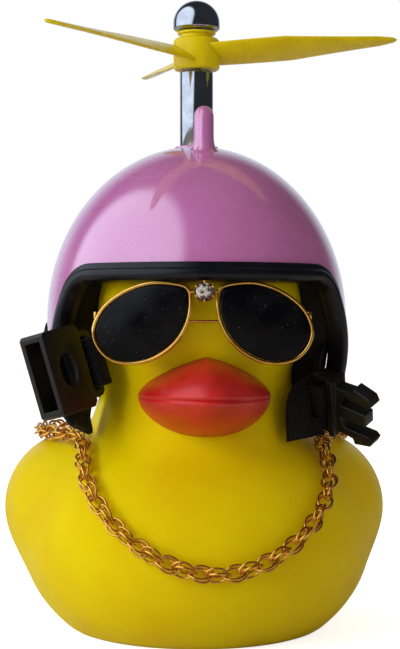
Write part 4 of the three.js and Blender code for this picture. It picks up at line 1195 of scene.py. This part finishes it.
# One ring of a link: a small circle spun round, then drawn out to an oval
def chainRing():
    bm = bmesh.new()
    upright = Matrix.Translation((1, 0, 0)) @ Matrix.Rotation(radians(90), 4, "X")
    wire = bmesh.ops.create_circle(bm, segments=chain["wireSides"], radius=chain["wire"], matrix=upright)
    edges = list({edge for vert in wire["verts"] for edge in vert.link_edges})
    bmesh.ops.spin(bm, geom=wire["verts"] + edges, cent=(0, 0, 0), axis=(0, 0, 1), angle=tau,
                   steps=chain["ringSteps"], use_merge=True)
    for vert in bm.verts:
        flat = Vector((vert.co.x, vert.co.y, 0))
        inset = flat.length - 1
        flat.normalize()
        vert.co = Vector((flat.x * (chain["halfLong"] + inset),
                          flat.y * (chain["width"] / 2 - chain["wire"] + inset), vert.co.z))
    ring = bpy.data.meshes.new("chainRing")
    bm.to_mesh(ring)
    bm.free()
    return ring


def makeChain():
    ring = chainRing()
    links = bmesh.new()
    count = round(chainLength / chain["pitch"])
    reach = chain["alongReach"]
    for index in range(count):
        share = (index + 0.5) / count
        # The clasp takes the place of the links at the back of the neck
        if abs(share - 0.5) * chainLength < chain["claspLength"] / 2 + chain["pitch"] / 2:
            continue
        spot = int(share * len(chainSpots))
        centre = chainSpots[spot]
        along = (pickedFrom(chainSpots, spot + reach) - chainSpots[spot - reach]).normalized()
        out = squared(centre - Vector(duck["body"][0]), along)
        # Every other link is turned a quarter the other way, and no two lie quite alike
        lean = radians((-1) ** index * chain["lean"] + chain["uneven"] * sin(index * 2.4))
        # The two rings of a link stand apart like a V, one a little ahead of the other
        for side in (-1, 1):
            facing = Matrix.Rotation(lean + side * radians(chain["pairSplay"]), 3, along) @ out
            basis = Matrix((along, along.cross(facing), facing)).transposed().to_4x4()
            place = Matrix.Translation(centre + along * side * chain["pairStep"] / 2) @ basis
            ring.transform(place)
            links.from_mesh(ring)
            ring.transform(place.inverted())
    bpy.data.meshes.remove(ring)
    finished(links, "gold_link_chain", chainGold, "neck_chain", sharp=80)


# The lobster clasp: a body that swells and narrows, and a lever on its side
clasp = dict(fat=((-1, 0.35), (-0.8, 0.8), (-0.5, 1.3), (-0.1, 1.5), (0.3, 1.35), (0.7, 0.9), (1, 0.4)),
             flat=0.6, share=0.9, sides=20, lever=0.42, leverOut=0.9, leverUp=0.55)


def makeClasp():
    bm = bmesh.new()
    neck = Vector(duck["neck"][0])
    half = chain["claspLength"] / 2 * clasp["share"] / chainLength
    path = [pickedFrom(chainSpots, round((0.5 + k * half) * len(chainSpots))) for k, _ in clasp["fat"]]
    angles = [tau * i / clasp["sides"] for i in range(clasp["sides"])]
    rings = []
    for i, (point, (_, fat)) in enumerate(zip(path, clasp["fat"])):
        along = (path[min(i + 1, len(path) - 1)] - path[max(i - 1, 0)]).normalized()
        out = squared(point - neck, along)
        side = along.cross(out)
        rings.append([point + side * cos(a) * fat + out * sin(a) * fat * clasp["flat"] for a in angles])
    ringGrid(bm, [[path[0]]] + rings + [[path[-1]]], clasp["sides"])
    outward = (path[3] - neck).normalized()
    lever = [point + outward * clasp["leverOut"] + Vector((0, 0, clasp["leverUp"])) for point in path[1:6]]
    sweepSection(bm, smoothPath(lever, 14), lambda p: outward, roundSection(clasp["lever"]))
    finished(bm, "gold_lobster_clasp", chainGold, "chain_clasp", sharp=70)


makeChain()
makeClasp()
print("chain done, length", round(chainLength), "mm")

# The frame's own solids that stay: the squeaker, the screw and the axle

kept = {"squeaker_housing": whitePlastic, "squeaker_reed": whitePlastic, "post_screw": steel,
        "propeller_axle": steel}

for name, material in kept.items():
    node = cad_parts[name]
    node.data.materials.clear()
    node.data.materials.append(material)
